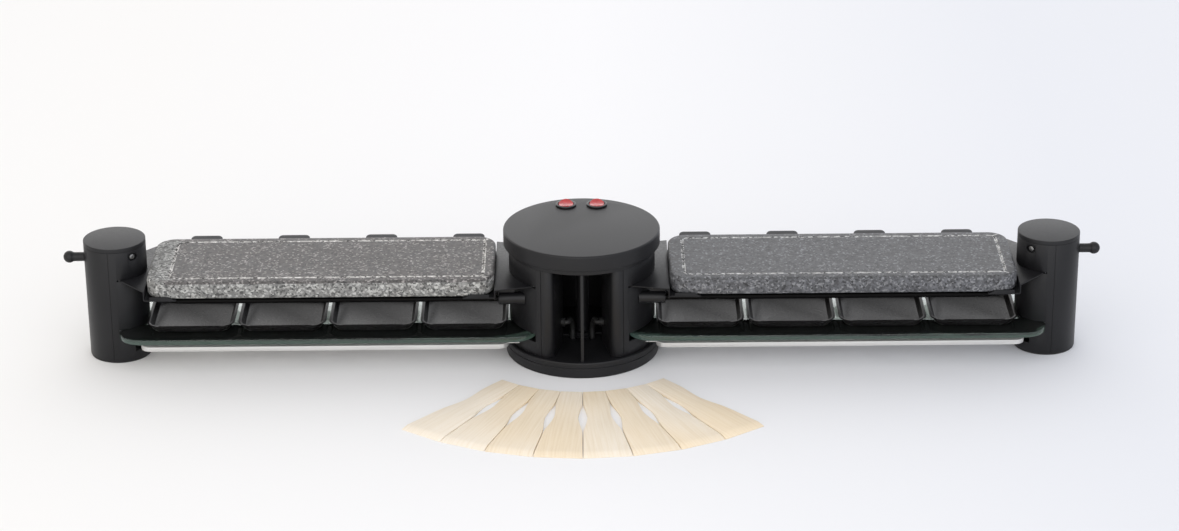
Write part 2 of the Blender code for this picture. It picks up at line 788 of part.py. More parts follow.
def arm_outline(side):
    """Returns the outline of a swivel arm and its bore."""
    open_deg = math.degrees(math.asin(ARM_HALF_WIDTH / ARM_RING_RADIUS))
    reach = HOUSING_INNER_RADIUS + HOUSING_WALL / 2
    outline = arc((0, 0), ARM_RING_RADIUS, open_deg, 360.0 - open_deg, 2 * ARC_STEP_DEG)
    outline += [(reach, -ARM_HALF_WIDTH), (reach, ARM_HALF_WIDTH)]
    bore = circle((0, 0), COLUMN_RADIUS + FIT, ROUND_STEPS)
    return [sided(outline, side), sided(bore, side)]


def make_hub_housing(label, side):
    """Half shell round the hub with two swivel arms, heater sleeves and the wing's slots."""
    seam = HOUSING_SEAM_DEG + math.degrees(FIT / 2 / HOUSING_RADIUS)
    wall = arc((0, 0), HOUSING_RADIUS, seam, HOUSING_REAR_DEG)
    wall += arc((0, 0), HOUSING_INNER_RADIUS, HOUSING_REAR_DEG, seam)
    housing = prism(f"hub_housing_{label}", [sided(wall, side)], HOUSING_BOTTOM, HOUSING_TOP, "plastic")
    level = (ARM_THICKNESS + FIT) * (side > 0)
    low = HOUSING_BOTTOM + level
    high = HOUSING_TOP - level
    lower = prism(f"lower_arm_{label}", arm_outline(side), low, low + ARM_THICKNESS)
    upper = prism(f"upper_arm_{label}", arm_outline(side), high - ARM_THICKNESS, high)
    join(housing, lower)
    join(housing, upper)
    outside = HOUSING_RADIUS + CUT_OVERRUN
    slots = (
        ("flange", SLOT_END_X, FLANGE_HUB_HALF + CUT_OVERRUN, FLANGE_TOP - SHEET - FIT, FLANGE_TOP + FIT),
        ("glass", SLOT_END_X, GLASS_HALF, GLASS_TOP - GLASS_THICKNESS - FIT, GLASS_TOP + GLASS_HEADROOM),
        ("tray", TRAY_HUB_X - FIT, TRAY_HUB_HALF + 2 * FIT, TRAY_TOP - TRAY_SHEET - FIT, TRAY_TOP + FIT),
    )
    for slot, start_x, half, low, high in slots:
        tool = side_box(f"{slot}_slot_{label}", side, (start_x, -half, low), (outside, half, high))
        cut(housing, tool)
    for index, y in enumerate((-HEATER_HALF, HEATER_HALF)):
        start = (side * SLEEVE_START, y, HEATER_Z)
        end = (side * SLEEVE_END, y, HEATER_Z)
        join(housing, cylinder(f"sleeve_{label}_{index}", SLEEVE_RADIUS, start, end, ROUND_STEPS))
        start = (side * (SLEEVE_START - SUNK), y, HEATER_Z)
        end = (side * (SLEEVE_END + CUT_OVERRUN), y, HEATER_Z)
        bore = cylinder(f"sleeve_bore_{label}_{index}", HEATER_RADIUS + FIT, start, end, SMALL_STEPS)
        cut(housing, bore)
    return housing


def cover_return():
    """Returns the outer and the inner end of the cover's return wall."""
    outer_end = polar(HOUSING_RADIUS - COVER_RETURN_DEPTH, COVER_OUTER_DEG, 0)
    inner_end = polar(CABLE_SLOT_OUTER + COVER_SLOT_GAP, COVER_INNER_DEG, 0)
    return Vector(outer_end[:2]), Vector(inner_end[:2])


def cover_path():
    """Returns the outer line of the housing cover, from its seam to its inner end."""
    start = HOUSING_SEAM_DEG - math.degrees(FIT / 2 / HOUSING_RADIUS)
    path = arc((0, 0), HOUSING_RADIUS, start, COVER_BEND_DEG, ARC_STEP_DEG / 2)
    first = Vector(path[-1])
    corner = Vector(polar(HOUSING_RADIUS, COVER_CORNER_DEG, 0)[:2])
    last, inner_end = cover_return()
    for index in range(1, COVER_BEND_STEPS + 1):
        share = index / COVER_BEND_STEPS
        point = first * (1 - share) ** 2 + corner * 2 * share * (1 - share) + last * share ** 2
        path.append(tuple(point))
    return path + [tuple(inner_end)]


def cover_normal():
    """Returns the direction from the cover's return wall into the open middle."""
    outer_end, inner_end = cover_return()
    along = (inner_end - outer_end).normalized()
    return Vector((-along.y, along.x))


def cable_hole_point(distance, side):
    """Returns the point at a distance from the return wall's face, towards the middle."""
    outer_end, inner_end = cover_return()
    centre = inner_end + (outer_end - inner_end).normalized() * CABLE_WALL_INSET
    place = centre + cover_normal() * distance
    return (side * place.x, place.y, CABLE_WALL_Z)


def make_housing_cover(label, side):
    """Front strip of the housing, which curves inwards to the cable bush."""
    outline = thickened(cover_path(), HOUSING_WALL)
    cover = prism(f"housing_cover_{label}", [sided(outline, side)], HOUSING_BOTTOM, HOUSING_TOP, "plastic")
    start = cable_hole_point(CUT_OVERRUN, side)
    end = cable_hole_point(-HOUSING_WALL - CUT_OVERRUN, side)
    cut(cover, cylinder(f"cable_hole_{label}", CABLE_NECK_RADIUS + FIT, start, end, SMALL_STEPS))
    return cover


def bracket_profile(start_x, drop_x, end_x):
    """Returns the Z shaped side view of a bracket as (x, z) points."""
    towards = 1 if end_x > start_x else -1
    drop_far = drop_x + towards * SHEET
    return [
        (start_x, FLANGE_TOP),
        (drop_far, FLANGE_TOP),
        (drop_far, LEDGE_TOP),
        (end_x, LEDGE_TOP),
        (end_x, LEDGE_TOP - SHEET),
        (drop_x, LEDGE_TOP - SHEET),
        (drop_x, FLANGE_TOP - SHEET),
        (start_x, FLANGE_TOP - SHEET),
    ]


def lip_profile(drop_x, end_x):
    """Returns the side view of a lip with its sloped end as (x, z) points."""
    towards = 1 if end_x > drop_x else -1
    low = LEDGE_TOP - SHEET
    top = LEDGE_TOP + LIP_HEIGHT
    near = drop_x + towards * LIP_END_GAP
    return [
        (near, low),
        (near, top),
        (end_x - towards * LIP_SLOPE, top),
        (end_x, LEDGE_TOP - SHEET / 2),
        (end_x, low),
    ]


def make_bracket(name, side, plan, start_x, drop_x, end_x):
    """Sheet steel bracket: flange, drop and ledge in one Z, with a lip at each end of the ledge."""
    profile = sided(bracket_profile(start_x, drop_x, end_x), side)
    reach = max(y for _, y in plan) + CUT_OVERRUN
    bracket = prism(name, [profile], -reach, reach, "steel", across="Y")
    outline = sided(mirrored_in_y(plan), side)
    low, high = LEDGE_TOP - SHEET - CUT_OVERRUN, FLANGE_TOP + CUT_OVERRUN
    keep_inside(bracket, prism(f"{name}_plan", [outline], low, high))
    lip = sided(lip_profile(drop_x, end_x), side)
    for label, low, high in (("front", -LIP_OUTER, -LIP_INNER), ("back", LIP_INNER, LIP_OUTER)):
        join(bracket, prism(f"{name}_lip_{label}", [lip], low, high, across="Y"))
    return bracket


def make_inner_bracket(label, side):
    """Bracket at the hub end of the stone."""
    face_x = STONE_INNER_X - DROP_GAP
    drop_x = face_x - SHEET
    end_x = face_x + LEDGE_REACH
    plan = [
        (SLOT_END_X, FLANGE_HUB_HALF),
        (face_x, FLANGE_HUB_TIP_HALF),
        (face_x, LIP_OUTER),
        (end_x + SHEET, LIP_OUTER),
    ]
    return make_bracket(f"inner_bracket_{label}", side, plan, SLOT_END_X, drop_x, end_x)


def make_outer_bracket(label, side):
    """Bracket at the post end of the stone, narrowed to enter the post."""
    face_x = STONE_OUTER_X + 2 * DROP_GAP
    drop_x = face_x + SHEET
    start_x = POST_X - FLANGE_POST_REACH
    end_x = face_x - LEDGE_REACH
    plan = [
        (start_x, FLANGE_POST_HALF),
        (POST_X - FLANGE_POST_NECK, FLANGE_POST_HALF),
        (drop_x, FLANGE_POST_TIP_HALF),
        (face_x, FLANGE_POST_TIP_HALF),
        (face_x, LIP_OUTER),
        (end_x - SHEET, LIP_OUTER),
    ]
    return make_bracket(f"outer_bracket_{label}", side, plan, start_x, drop_x, end_x)


def heater_path(side):
    """Returns the U shaped route of the heater."""
    far_x = STONE_OUTER_X - HEATER_POST_GAP
    corner_x = far_x - HEATER_BEND
    corner_y = HEATER_HALF - HEATER_BEND
    path = [(SLEEVE_START, -HEATER_HALF)]
    path += arc((corner_x, -corner_y), HEATER_BEND, -90.0, 0.0, TURN_STEP_DEG)
    path += arc((corner_x, corner_y), HEATER_BEND, 0.0, 90.0, TURN_STEP_DEG)
    path.append((SLEEVE_START, HEATER_HALF))
    return [(side * x, y, HEATER_Z) for x, y in path]


def make_heater(label, side):
    """Tubular heater above the pans."""
    return tube(f"heater_{label}", heater_path(side), HEATER_RADIUS, "heater")


def make_glass_shelf(label, side):
    """Glass shelf with large corner rounds, held in the housing and in the post."""
    low_x, high_x = span(SLOT_END_X, POST_X - GLASS_POST_REACH, side)
    low, high = (low_x, -GLASS_HALF), (high_x, GLASS_HALF)
    outline = rounded_rectangle(low, high, GLASS_CORNER, 2 * CORNER_STEPS)
    glass = prism(f"glass_shelf_{label}", [outline], GLASS_TOP - GLASS_THICKNESS, GLASS_TOP, "glass")
    return bevel(glass, GLASS_EDGE)


def make_reflector_tray(label, side):
    """Bright tray with a folded edge and a tongue at each end."""
    low_z, high_z = TRAY_TOP - TRAY_SHEET, TRAY_TOP
    near_x = HOUSING_RADIUS + TRAY_END_GAP
    tongues = [
        (TRAY_HUB_X, -TRAY_HUB_HALF),
        (near_x + TRAY_CORNER, -TRAY_HUB_HALF),
        (near_x + TRAY_CORNER, -TRAY_TONGUE_HALF),
        (POST_X - TRAY_TONGUE_REACH, -TRAY_TONGUE_HALF),
        (POST_X - TRAY_TONGUE_REACH, TRAY_TONGUE_HALF),
        (near_x + TRAY_CORNER, TRAY_TONGUE_HALF),
        (near_x + TRAY_CORNER, TRAY_HUB_HALF),
        (TRAY_HUB_X, TRAY_HUB_HALF),
    ]
    tray = prism(f"reflector_tray_{label}", [sided(tongues, side)], low_z, high_z, "aluminium")
    far_x = POST_X - POST_RADIUS + TRAY_POST_REACH
    low_x, high_x = span(near_x, far_x, side)
    plate = rounded_rectangle((low_x, -TRAY_HALF), (high_x, TRAY_HALF), TRAY_CORNER, TRAY_CORNER_STEPS)
    inner = rounded_rectangle((low_x + TRAY_SHEET, TRAY_SHEET - TRAY_HALF),
                              (high_x - TRAY_SHEET, TRAY_HALF - TRAY_SHEET),
                              TRAY_CORNER - TRAY_SHEET, TRAY_CORNER_STEPS)
    join(tray, prism(f"tray_plate_{label}", [plate], low_z, high_z))
    join(tray, prism(f"tray_fold_{label}", [plate, inner], TRAY_TOP - TRAY_LIP, low_z + TRAY_SHEET / 2))
    return tray


def shell_outline(start_deg, end_deg, side):
    """Returns the outline of one post shell."""
    step = 360.0 / POST_STEPS
    outline = arc((POST_X, 0), POST_RADIUS, start_deg, end_deg, step)
    outline += arc((POST_X, 0), POST_INNER_RADIUS, end_deg, start_deg, step)
    return sided(outline, side)


def post_direction(degrees, side):
    """Returns the level direction at an angle from the post towards the hub."""
    angle = math.radians(degrees)
    return Vector((-side * math.cos(angle), math.sin(angle), 0))


def make_post_inner_shell(label, side):
    """Half of the post that faces the hub, with the slots for bracket, glass and tray."""
    seam = POST_SEAM_DEG + math.degrees(FIT / 2 / POST_RADIUS)
    outline = shell_outline(seam, 360.0 - seam, side)
    shell = prism(f"post_inner_shell_{label}", [outline], POST_SHELL_BOTTOM, POST_SHELL_TOP, "plastic")
    outside = POST_X - POST_RADIUS - CUT_OVERRUN
    slots = (
        ("flange", POST_X - FLANGE_POST_NECK + SUNK, POST_RADIUS, FLANGE_TOP - SHEET - FIT, FLANGE_TOP + FIT),
        ("glass", POST_X - GLASS_POST_REACH + FIT, POST_RADIUS, GLASS_TOP - GLASS_THICKNESS - FIT,
         GLASS_TOP + FIT),
        ("tray", POST_X - TRAY_TONGUE_REACH + FIT, TRAY_TONGUE_HALF + 2 * FIT, TRAY_TOP - TRAY_SLOT_DROP,
         TRAY_TOP + TRAY_SLOT_RISE),
    )
    for slot, end_x, half, low, high in slots:
        tool = side_box(f"post_{slot}_slot_{label}", side, (outside, -half, low), (end_x, half, high))
        cut(shell, tool)
    for index, degrees in enumerate((-POST_RECESS_DEG, POST_RECESS_DEG)):
        direction = post_direction(degrees, side)
        centre = Vector((side * POST_X, 0, POST_RECESS_Z))
        start = centre + direction * (POST_INNER_RADIUS - CUT_OVERRUN)
        end = centre + direction * (POST_RADIUS + CUT_OVERRUN)
        cut(shell, cylinder(f"post_recess_{label}_{index}", POST_RECESS_RADIUS, start, end, ROUND_STEPS))
    return shell


def make_post_outer_shell(label, side):
    """Outer part of the post, with the hole for the knob's rod."""
    seam = POST_SEAM_DEG - math.degrees(FIT / 2 / POST_RADIUS)
    outline = shell_outline(-seam, seam, side)
    shell = prism(f"post_outer_shell_{label}", [outline], POST_SHELL_BOTTOM, POST_SHELL_TOP, "plastic")
    start = (side * (POST_X + POST_INNER_RADIUS - CUT_OVERRUN), 0, KNOB_Z)
    end = (side * (POST_X + POST_RADIUS + CUT_OVERRUN), 0, KNOB_Z)
    cut(shell, cylinder(f"knob_hole_{label}", KNOB_ROD_RADIUS + FIT, start, end, ROUND_STEPS))
    return shell


def make_post_cap(label, side):
    """Post cap with the spigot that holds both shells."""
    plate_bottom = POST_HEIGHT - POST_CAP_HEIGHT
    spigot_inner = SPIGOT_RADIUS - SPIGOT_WALL
    inside = POST_HEIGHT - POST_CAP_PLATE
    profile = [
        (0, POST_HEIGHT),
        (POST_RADIUS - POST_CAP_CHAMFER, POST_HEIGHT),
        (POST_RADIUS, POST_HEIGHT - POST_CAP_CHAMFER),
        (POST_RADIUS, plate_bottom),
        (SPIGOT_RADIUS, plate_bottom),
        (SPIGOT_RADIUS, plate_bottom - SPIGOT_DEPTH),
        (spigot_inner, plate_bottom - SPIGOT_DEPTH),
        (spigot_inner, inside),
        (0, inside),
    ]
    cap = turned(f"post_cap_{label}", profile, POST_STEPS, "plastic")
    notch = KNOB_FLANGE_RADIUS + 2 * FIT
    low = (spigot_inner - CUT_OVERRUN, -notch, plate_bottom - SPIGOT_DEPTH - CUT_OVERRUN)
    high = (POST_RADIUS, notch, KNOB_Z + notch)
    cut(cap, side_box(f"knob_notch_{label}", side, low, high))
    cap = settle(cap)
    cap.location.x = side * POST_X
    return cap


def make_post_foot(label, side):
    """Rubber foot plugged into the lower end of the post."""
    spigot_inner = SPIGOT_RADIUS - SPIGOT_WALL
    profile = [
        (0, FOOT_HEIGHT),
        (spigot_inner, FOOT_HEIGHT),
        (spigot_inner, FOOT_HEIGHT + FOOT_SPIGOT),
        (SPIGOT_RADIUS, FOOT_HEIGHT + FOOT_SPIGOT),
        (SPIGOT_RADIUS, FOOT_HEIGHT),
        (POST_RADIUS - FOOT_INSET, FOOT_HEIGHT),
        (POST_RADIUS - FOOT_INSET, 0),
        (0, 0),
    ]
    foot = turned(f"post_foot_{label}", profile, POST_STEPS, "rubber")
    foot.location.x = side * POST_X
    return foot


def make_post_knob(label, side):
    """Ball knob on a short rod, held by a flange inside the post."""
    surface = POST_RADIUS + KNOB_ROD_REACH
    ball_centre = surface + math.sqrt(KNOB_BALL_RADIUS ** 2 - KNOB_ROD_RADIUS ** 2)
    first_deg = math.degrees(math.asin(KNOB_ROD_RADIUS / KNOB_BALL_RADIUS))
    profile = []
    for index in range(KNOB_BALL_STEPS + 1):
        angle = math.radians((180.0 - first_deg) * index / KNOB_BALL_STEPS)
        height = ball_centre + KNOB_BALL_RADIUS * math.cos(angle)
        profile.append((KNOB_BALL_RADIUS * math.sin(angle), height))
    profile[0] = (0, ball_centre + KNOB_BALL_RADIUS)
    clear_radius = POST_INNER_RADIUS * math.cos(math.pi / POST_STEPS)
    flange_face = math.sqrt(clear_radius ** 2 - KNOB_FLANGE_RADIUS ** 2) - FIT
    profile += [
        (KNOB_ROD_RADIUS, flange_face),
        (KNOB_FLANGE_RADIUS, flange_face),
        (KNOB_FLANGE_RADIUS, flange_face - KNOB_FLANGE),
        (0, flange_face - KNOB_FLANGE),
    ]
    knob = turned(f"post_knob_{label}", profile, ROUND_STEPS, "plastic")
    knob.rotation_euler = (0, side * math.pi / 2, 0)
    knob.location = (side * POST_X, 0, KNOB_Z)
    return knob


def cable_route(side):
    """Returns the route's own points, from the heater's end to the base."""
    distances = (-HOUSING_WALL - CABLE_BUSH_LENGTH, -HOUSING_WALL, 0, CABLE_BUSH_LENGTH + CABLE_RADIUS)
    through = [Vector(cable_hole_point(distance, 1)) for distance in distances]
    inside, outside = through[0], through[-1]
    down_x, down_y = CABLE_DESCENT
    heater_end = Vector((SLEEVE_START - FIT, -HEATER_HALF, HEATER_Z))
    straight = heater_end - Vector((CABLE_RADIUS, 0, 0))
    leave = straight - Vector((CABLE_RADIUS, 0, 0))
    rise = Vector(((outside.x + down_x) / 2, (outside.y + down_y) / 2, CABLE_WALL_Z))
    points = [
        heater_end,
        straight,
        leave,
        leave.lerp(inside, 1 / 2),
        *through,
        rise,
        Vector((down_x, down_y, CABLE_WALL_Z - CABLE_BEND_DROP)),
        Vector((down_x, down_y, DECK_TOP + CABLE_RADIUS)),
        Vector((down_x, down_y, CABLE_END_Z)),
    ]
    return [Vector((side * point.x, point.y, point.z)) for point in points]


def smooth_route(points, pieces=3):
    """Returns points along a smooth curve through the given points."""
    route = []
    last = len(points) - 1
    for index in range(last):
        p0 = points[max(index - 1, 0)]
        p1 = points[index]
        p2 = points[index + 1]
        p3 = points[min(index + 2, last)]
        for step in range(pieces):
            t = step / pieces
            a = p1 * 2
            b = (p2 - p0) * t
            c = (p0 * 2 - p1 * 5 + p2 * 4 - p3) * t * t
            d = (p1 * 3 - p0 - p2 * 3 + p3) * t * t * t
            route.append((a + b + c + d) / 2)
    route.append(points[last])
    return route


def make_cable(label, side):
    """Cable from the heater through its moulded bush down into the base."""
    cable = tube(f"cable_{label}", smooth_route(cable_route(side)), CABLE_RADIUS, "cable")
    face = cable_hole_point(FIT, side)
    tip = cable_hole_point(FIT + CABLE_BUSH_LENGTH, side)
    join(cable, cylinder(f"cable_bush_{label}", CABLE_BUSH_RADIUS, face, tip, SMALL_STEPS))
    back = cable_hole_point(-HOUSING_WALL - SUNK, side)
    front = cable_hole_point(FIT + SUNK, side)
    join(cable, cylinder(f"cable_neck_{label}", CABLE_NECK_RADIUS, back, front, SMALL_STEPS))
    return cable


def make_stone(label, side):
    """Granite stone with rounded edges and a shallow line let into its top."""
    half_length = STONE_LENGTH / 2
    low, high = (-half_length, -STONE_HALF), (half_length, STONE_HALF)
    outline = rounded_rectangle(low, high, STONE_CORNER)
    stone = prism(f"stone_{label}", [outline], 0, STONE_THICKNESS, "granite")
    stone.data.transform(stone.matrix_world)
    stone.matrix_world = Matrix.Identity(4)
    bevel(stone, STONE_EDGE, STONE_EDGE_STEPS)
    low_inset, high_inset = GROOVE_END_INSETS[label]
    rings = []
    for step in (0, GROOVE_WIDTH):
        low = (low_inset + step - half_length, GROOVE_INSET + step - STONE_HALF)
        high = (half_length - high_inset - step, STONE_HALF - GROOVE_INSET - step)
        rings.append(rounded_rectangle(low, high, GROOVE_CORNER - step, GROOVE_CORNER_STEPS))
    groove = prism(f"groove_{label}", rings, STONE_THICKNESS - GROOVE_DEPTH, STONE_THICKNESS + CUT_OVERRUN)
    cut(stone, groove)
    stone = settle(stone)
    stone.location = (side * (STONE_INNER_X + half_length), 0, STONE_BOTTOM)
    return stone


def pan_cage():
    """Returns the pan's upper surface: rim, sloping wall and floor."""
    low = (-PAN_WIDTH / 2, -PAN_DEPTH / 2)
    high = (PAN_WIDTH / 2, PAN_DEPTH / 2)
    outline = rounded_rectangle(low, high, PAN_CORNER, PAN_CORNER_STEPS)
    work = bmesh.new()
    rim = [work.verts.new((x, y, PAN_HEIGHT)) for x, y in outline]
    face = work.faces.new(rim)
    face.normal_update()
    bmesh.ops.inset_individual(work, faces=[face], thickness=PAN_RIM, use_even_offset=True)
    floor = bmesh.ops.extrude_face_region(work, geom=[face])
    moved = [item for item in floor["geom"] if isinstance(item, bmesh.types.BMVert)]
    bmesh.ops.delete(work, geom=[face], context="FACES_ONLY")
    inner_half = PAN_WIDTH / 2 - PAN_RIM
    shrink = (inner_half - PAN_SLOPE) / inner_half
    bmesh.ops.scale(work, vec=(shrink, shrink, 1), verts=moved)
    bmesh.ops.translate(work, vec=(0, 0, PAN_SHEET - PAN_HEIGHT), verts=moved)
    mesh = bpy.data.meshes.new("pan")
    work.to_mesh(mesh)
    work.free()
    return mesh


def make_pan_master():
    """Pan of coated sheet with the steel tang for its handle; its origin is under its middle."""
    pan = add_object("pan_master", pan_cage(), "pan")
    wall = pan.modifiers.new("sheet", "SOLIDIFY")
    wall.thickness = PAN_SHEET
    wall.offset = -1.0
    wall.use_even_offset = True
    tang_low = (-TANG_WIDTH / 2, -TANG_ROOT, -TANG_THICKNESS)
    tang_high = (TANG_WIDTH / 2, TANG_LENGTH, 0)
    tang = box("tang", tang_low, tang_high)
    tang.rotation_euler.x = HANDLE_ANGLE
    tang.location = (0, PAN_DEPTH / 2, PAN_HEIGHT - TANG_SINK)
    join(pan, tang)
    return settle(pan)


def make_handle_master():
    """Flat handle, wider at its end, with a pocket for the tang; its origin is under the pan's middle."""
    outline = [(-HANDLE_ROOT_HALF, HANDLE_START), (HANDLE_ROOT_HALF, HANDLE_START)]
    corner_x = HANDLE_TIP_HALF - HANDLE_CORNER
    corner_y = HANDLE_LENGTH - HANDLE_CORNER
    outline += arc((corner_x, corner_y), HANDLE_CORNER, 0.0, 90.0, HANDLE_STEP_DEG)
    outline += arc((-corner_x, corner_y), HANDLE_CORNER, 90.0, 180.0, HANDLE_STEP_DEG)
    low = (-TANG_THICKNESS - HANDLE_THICKNESS) / 2
    handle = prism("handle_master", [outline], low, low + HANDLE_THICKNESS, "handle")
    handle.data.transform(handle.matrix_world)
    handle.matrix_world = Matrix.Identity(4)
    bevel(handle, HANDLE_EDGE)
    pocket_low = (-TANG_WIDTH / 2 - FIT, HANDLE_START - CUT_OVERRUN, -TANG_THICKNESS - FIT)
    pocket_high = (TANG_WIDTH / 2 + FIT, TANG_LENGTH + FIT, FIT)
    cut(handle, box("pocket", pocket_low, pocket_high))
    handle = settle(handle)
    turn = Matrix.Rotation(HANDLE_ANGLE, 4, "X")
    place = Matrix.Translation((0, PAN_DEPTH / 2, PAN_HEIGHT - TANG_SINK))
    handle.data.transform(place @ turn)
    return handle


def make_pans(label, side, pan_mesh, handle_mesh):
    """Pans on the glass shelf, each with its handle."""
    pieces = []
    for index in range(PAN_COUNT):
        x = PAN_ROW_START + PAN_WIDTH / 2 + index * PAN_PITCH
        for kind, mesh in (("pan", pan_mesh), ("pan_handle", handle_mesh)):
            item = bpy.data.objects.new(f"{kind}_{label}_{index + 1}", mesh)
            item.location = (side * x, 0, PAN_BASE_Z)
            PARTS.objects.link(item)
            pieces.append(item)
    return pieces


def spatula_outline():
    """Returns the waisted outline of one spatula, its narrow end at the origin."""
    right = []
    for along, across in zip(SPATULA_LENGTH_SHARES, SPATULA_WIDTH_SHARES):
        right.append((across * SPATULA_WIDTH / 2, -along * SPATULA_LENGTH))
    return right + [(-x, y) for x, y in reversed(right)]


def spatula_pitch():
    """Returns the angle between neighbours that keeps both their wide and their narrow ends apart."""
    wide = (SPATULA_WIDTH + SPATULA_GAP) / 2 / (SPATULA_FAN_RADIUS + SPATULA_LENGTH)
    narrow = (SPATULA_WIDTH * SPATULA_WIDTH_SHARES[0] + SPATULA_GAP) / 2 / SPATULA_FAN_RADIUS
    return 2 * math.asin(max(wide, narrow))


def make_spatulas():
    """Wooden spatulas fanned out on the table in front of the hub."""
    for index in range(SPATULA_COUNT):
        name = f"spatula_{index + 1}"
        spatula = prism(name, [spatula_outline()], 0, SPATULA_THICKNESS, "wood")
        spatula.data.transform(spatula.matrix_world)
        spatula.matrix_world = Matrix.Identity(4)
        rise = SPATULA_THICKNESS - SPATULA_EDGE
        slope = [
            (-SPATULA_LENGTH + SPATULA_BEVEL, SPATULA_THICKNESS),
            (-SPATULA_LENGTH, SPATULA_EDGE),
            (-SPATULA_LENGTH - SPATULA_BEVEL, SPATULA_EDGE - rise),
            (-SPATULA_LENGTH - SPATULA_BEVEL, SPATULA_THICKNESS + rise),
            (-SPATULA_LENGTH + SPATULA_BEVEL, SPATULA_THICKNESS + rise),
        ]
        cut(spatula, prism(f"{name}_bevel", [slope], -SPATULA_WIDTH, SPATULA_WIDTH, across="X"))
        spatula = settle(spatula)
        angle = (index - (SPATULA_COUNT - 1) / 2) * spatula_pitch()
        spatula.rotation_euler.z = angle
        start = Vector((math.sin(angle), -math.cos(angle), 0)) * SPATULA_FAN_RADIUS
        spatula.location = start + Vector((0, SPATULA_FAN_Y, 0))


def make_hub():
    """Builds the fixed hub."""
    make_base_tub()
    make_hub_frame()
    make_lid()
    make_cord_gland()
    for label, side in SIDES.items():
        make_switch_bezel(label, side)
        make_rocker(label, side)


def make_wing(label, side, pan_mesh, handle_mesh):
    """Builds one wing and hangs its pieces on the swivel axis."""
    axis = pivot_empty(f"wing_axis_{label}")
    makers = (
        make_hub_housing, make_housing_cover, make_inner_bracket, make_outer_bracket, make_heater,
        make_glass_shelf, make_reflector_tray, make_post_inner_shell, make_post_outer_shell,
        make_post_cap, make_post_foot, make_post_knob, make_cable, make_stone,
    )
    for maker in makers:
        on_axis(maker(label, side), axis)
    for item in make_pans(label, side, pan_mesh, handle_mesh):
        on_axis(item, axis)


def main():
    """Builds the whole grill."""
    make_hub()
    pan_master = make_pan_master()
    handle_master = make_handle_master()
    pan_mesh, handle_mesh = pan_master.data, handle_master.data
    bpy.data.objects.remove(pan_master, do_unlink=True)
    bpy.data.objects.remove(handle_master, do_unlink=True)
    for label, side in SIDES.items():
        make_wing(label, side, pan_mesh, handle_mesh)
    make_spatulas()
    bpy.context.view_layer.update()


main()
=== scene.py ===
"""Raclette grill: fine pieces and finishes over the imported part.

A round switch hub carries two swivelling wings. Each wing holds a granite stone, a heater, four pans
on a glass shelf, a bright tray and an end post. Eight wooden spatulas lie in front.
All sizes are metres in the part's own frame: +X along the right wing, +Y towards the pan handles, +Z up.
"""
import logging
import math
from collections.abc import Callable, Sequence
from dataclasses import dataclass
from enum import Enum
from typing import ClassVar

import bmesh
import bpy
from mathutils import Matrix, Vector


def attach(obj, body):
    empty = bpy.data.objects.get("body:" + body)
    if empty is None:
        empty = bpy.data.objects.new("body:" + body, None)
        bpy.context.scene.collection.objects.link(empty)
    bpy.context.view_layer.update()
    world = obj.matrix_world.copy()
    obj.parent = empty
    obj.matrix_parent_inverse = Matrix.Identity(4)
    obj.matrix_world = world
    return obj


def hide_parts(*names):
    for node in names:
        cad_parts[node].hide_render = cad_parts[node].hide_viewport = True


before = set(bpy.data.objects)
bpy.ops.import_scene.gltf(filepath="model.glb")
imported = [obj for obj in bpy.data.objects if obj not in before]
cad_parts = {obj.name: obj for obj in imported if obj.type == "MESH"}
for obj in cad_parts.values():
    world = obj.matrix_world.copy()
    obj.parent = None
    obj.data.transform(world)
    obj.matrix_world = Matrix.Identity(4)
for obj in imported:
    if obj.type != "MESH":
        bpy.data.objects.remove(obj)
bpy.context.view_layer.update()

LOG = logging.getLogger("raclette_grill")
MM = 0.001
NEAR = 0.0001
QUARTER_TURN = math.pi / 2
Point = tuple[float, float, float]
Station = tuple[float, float]
Stops = tuple[tuple[float, str], ...]


class Side(Enum):
    """The two wings, each with the sign of its X."""

    LEFT = -1
    RIGHT = 1

    @property
    def label(self) -> str:
        """The word that the wing's nodes end in."""
        return self.name.lower()

    @property
    def body(self) -> str:
        """The body that the wing's fixed pieces move with."""
        return f"wing_{self.label}"

    def span(self, near: float, far: float) -> Station:
        """Returns two distances along the wing as rising X values."""
        low, high = sorted((self.value * near, self.value * far))
        return low, high


class Kind(Enum):
    """What an edit-mode selection is made of."""

    VERT = "VERT"
    EDGE = "EDGE"
    FACE = "FACE"


class Join(Enum):
    """How a piece is combined with another that is used up by it."""

    CUT = "DIFFERENCE"
    COMMON = "INTERSECT"
    UNITE = "UNION"


class NodeKind(Enum):
    """The shader nodes that the finishes and the studio are drawn with."""

    PRINCIPLED = "ShaderNodeBsdfPrincipled"
    OUTPUT = "ShaderNodeOutputMaterial"
    COORDINATES = "ShaderNodeTexCoord"
    UV_MAP = "ShaderNodeUVMap"
    MAPPING = "ShaderNodeMapping"
    NOISE = "ShaderNodeTexNoise"
    CELLS = "ShaderNodeTexVoronoi"
    RAMP = "ShaderNodeValToRGB"
    RANGE = "ShaderNodeMapRange"
    MIX = "ShaderNodeMix"
    MATH = "ShaderNodeMath"
    VECTOR_MATH = "ShaderNodeVectorMath"
    SPLIT_COLOUR = "ShaderNodeSeparateColor"
    SPLIT_POINT = "ShaderNodeSeparateXYZ"
    BUMP = "ShaderNodeBump"
    ABSORPTION = "ShaderNodeVolumeAbsorption"


# The sockets of a colour mix, which share their names with those for other data
MIX_FACTOR, MIX_FIRST, MIX_SECOND, MIX_RESULT = 0, 6, 7, 2


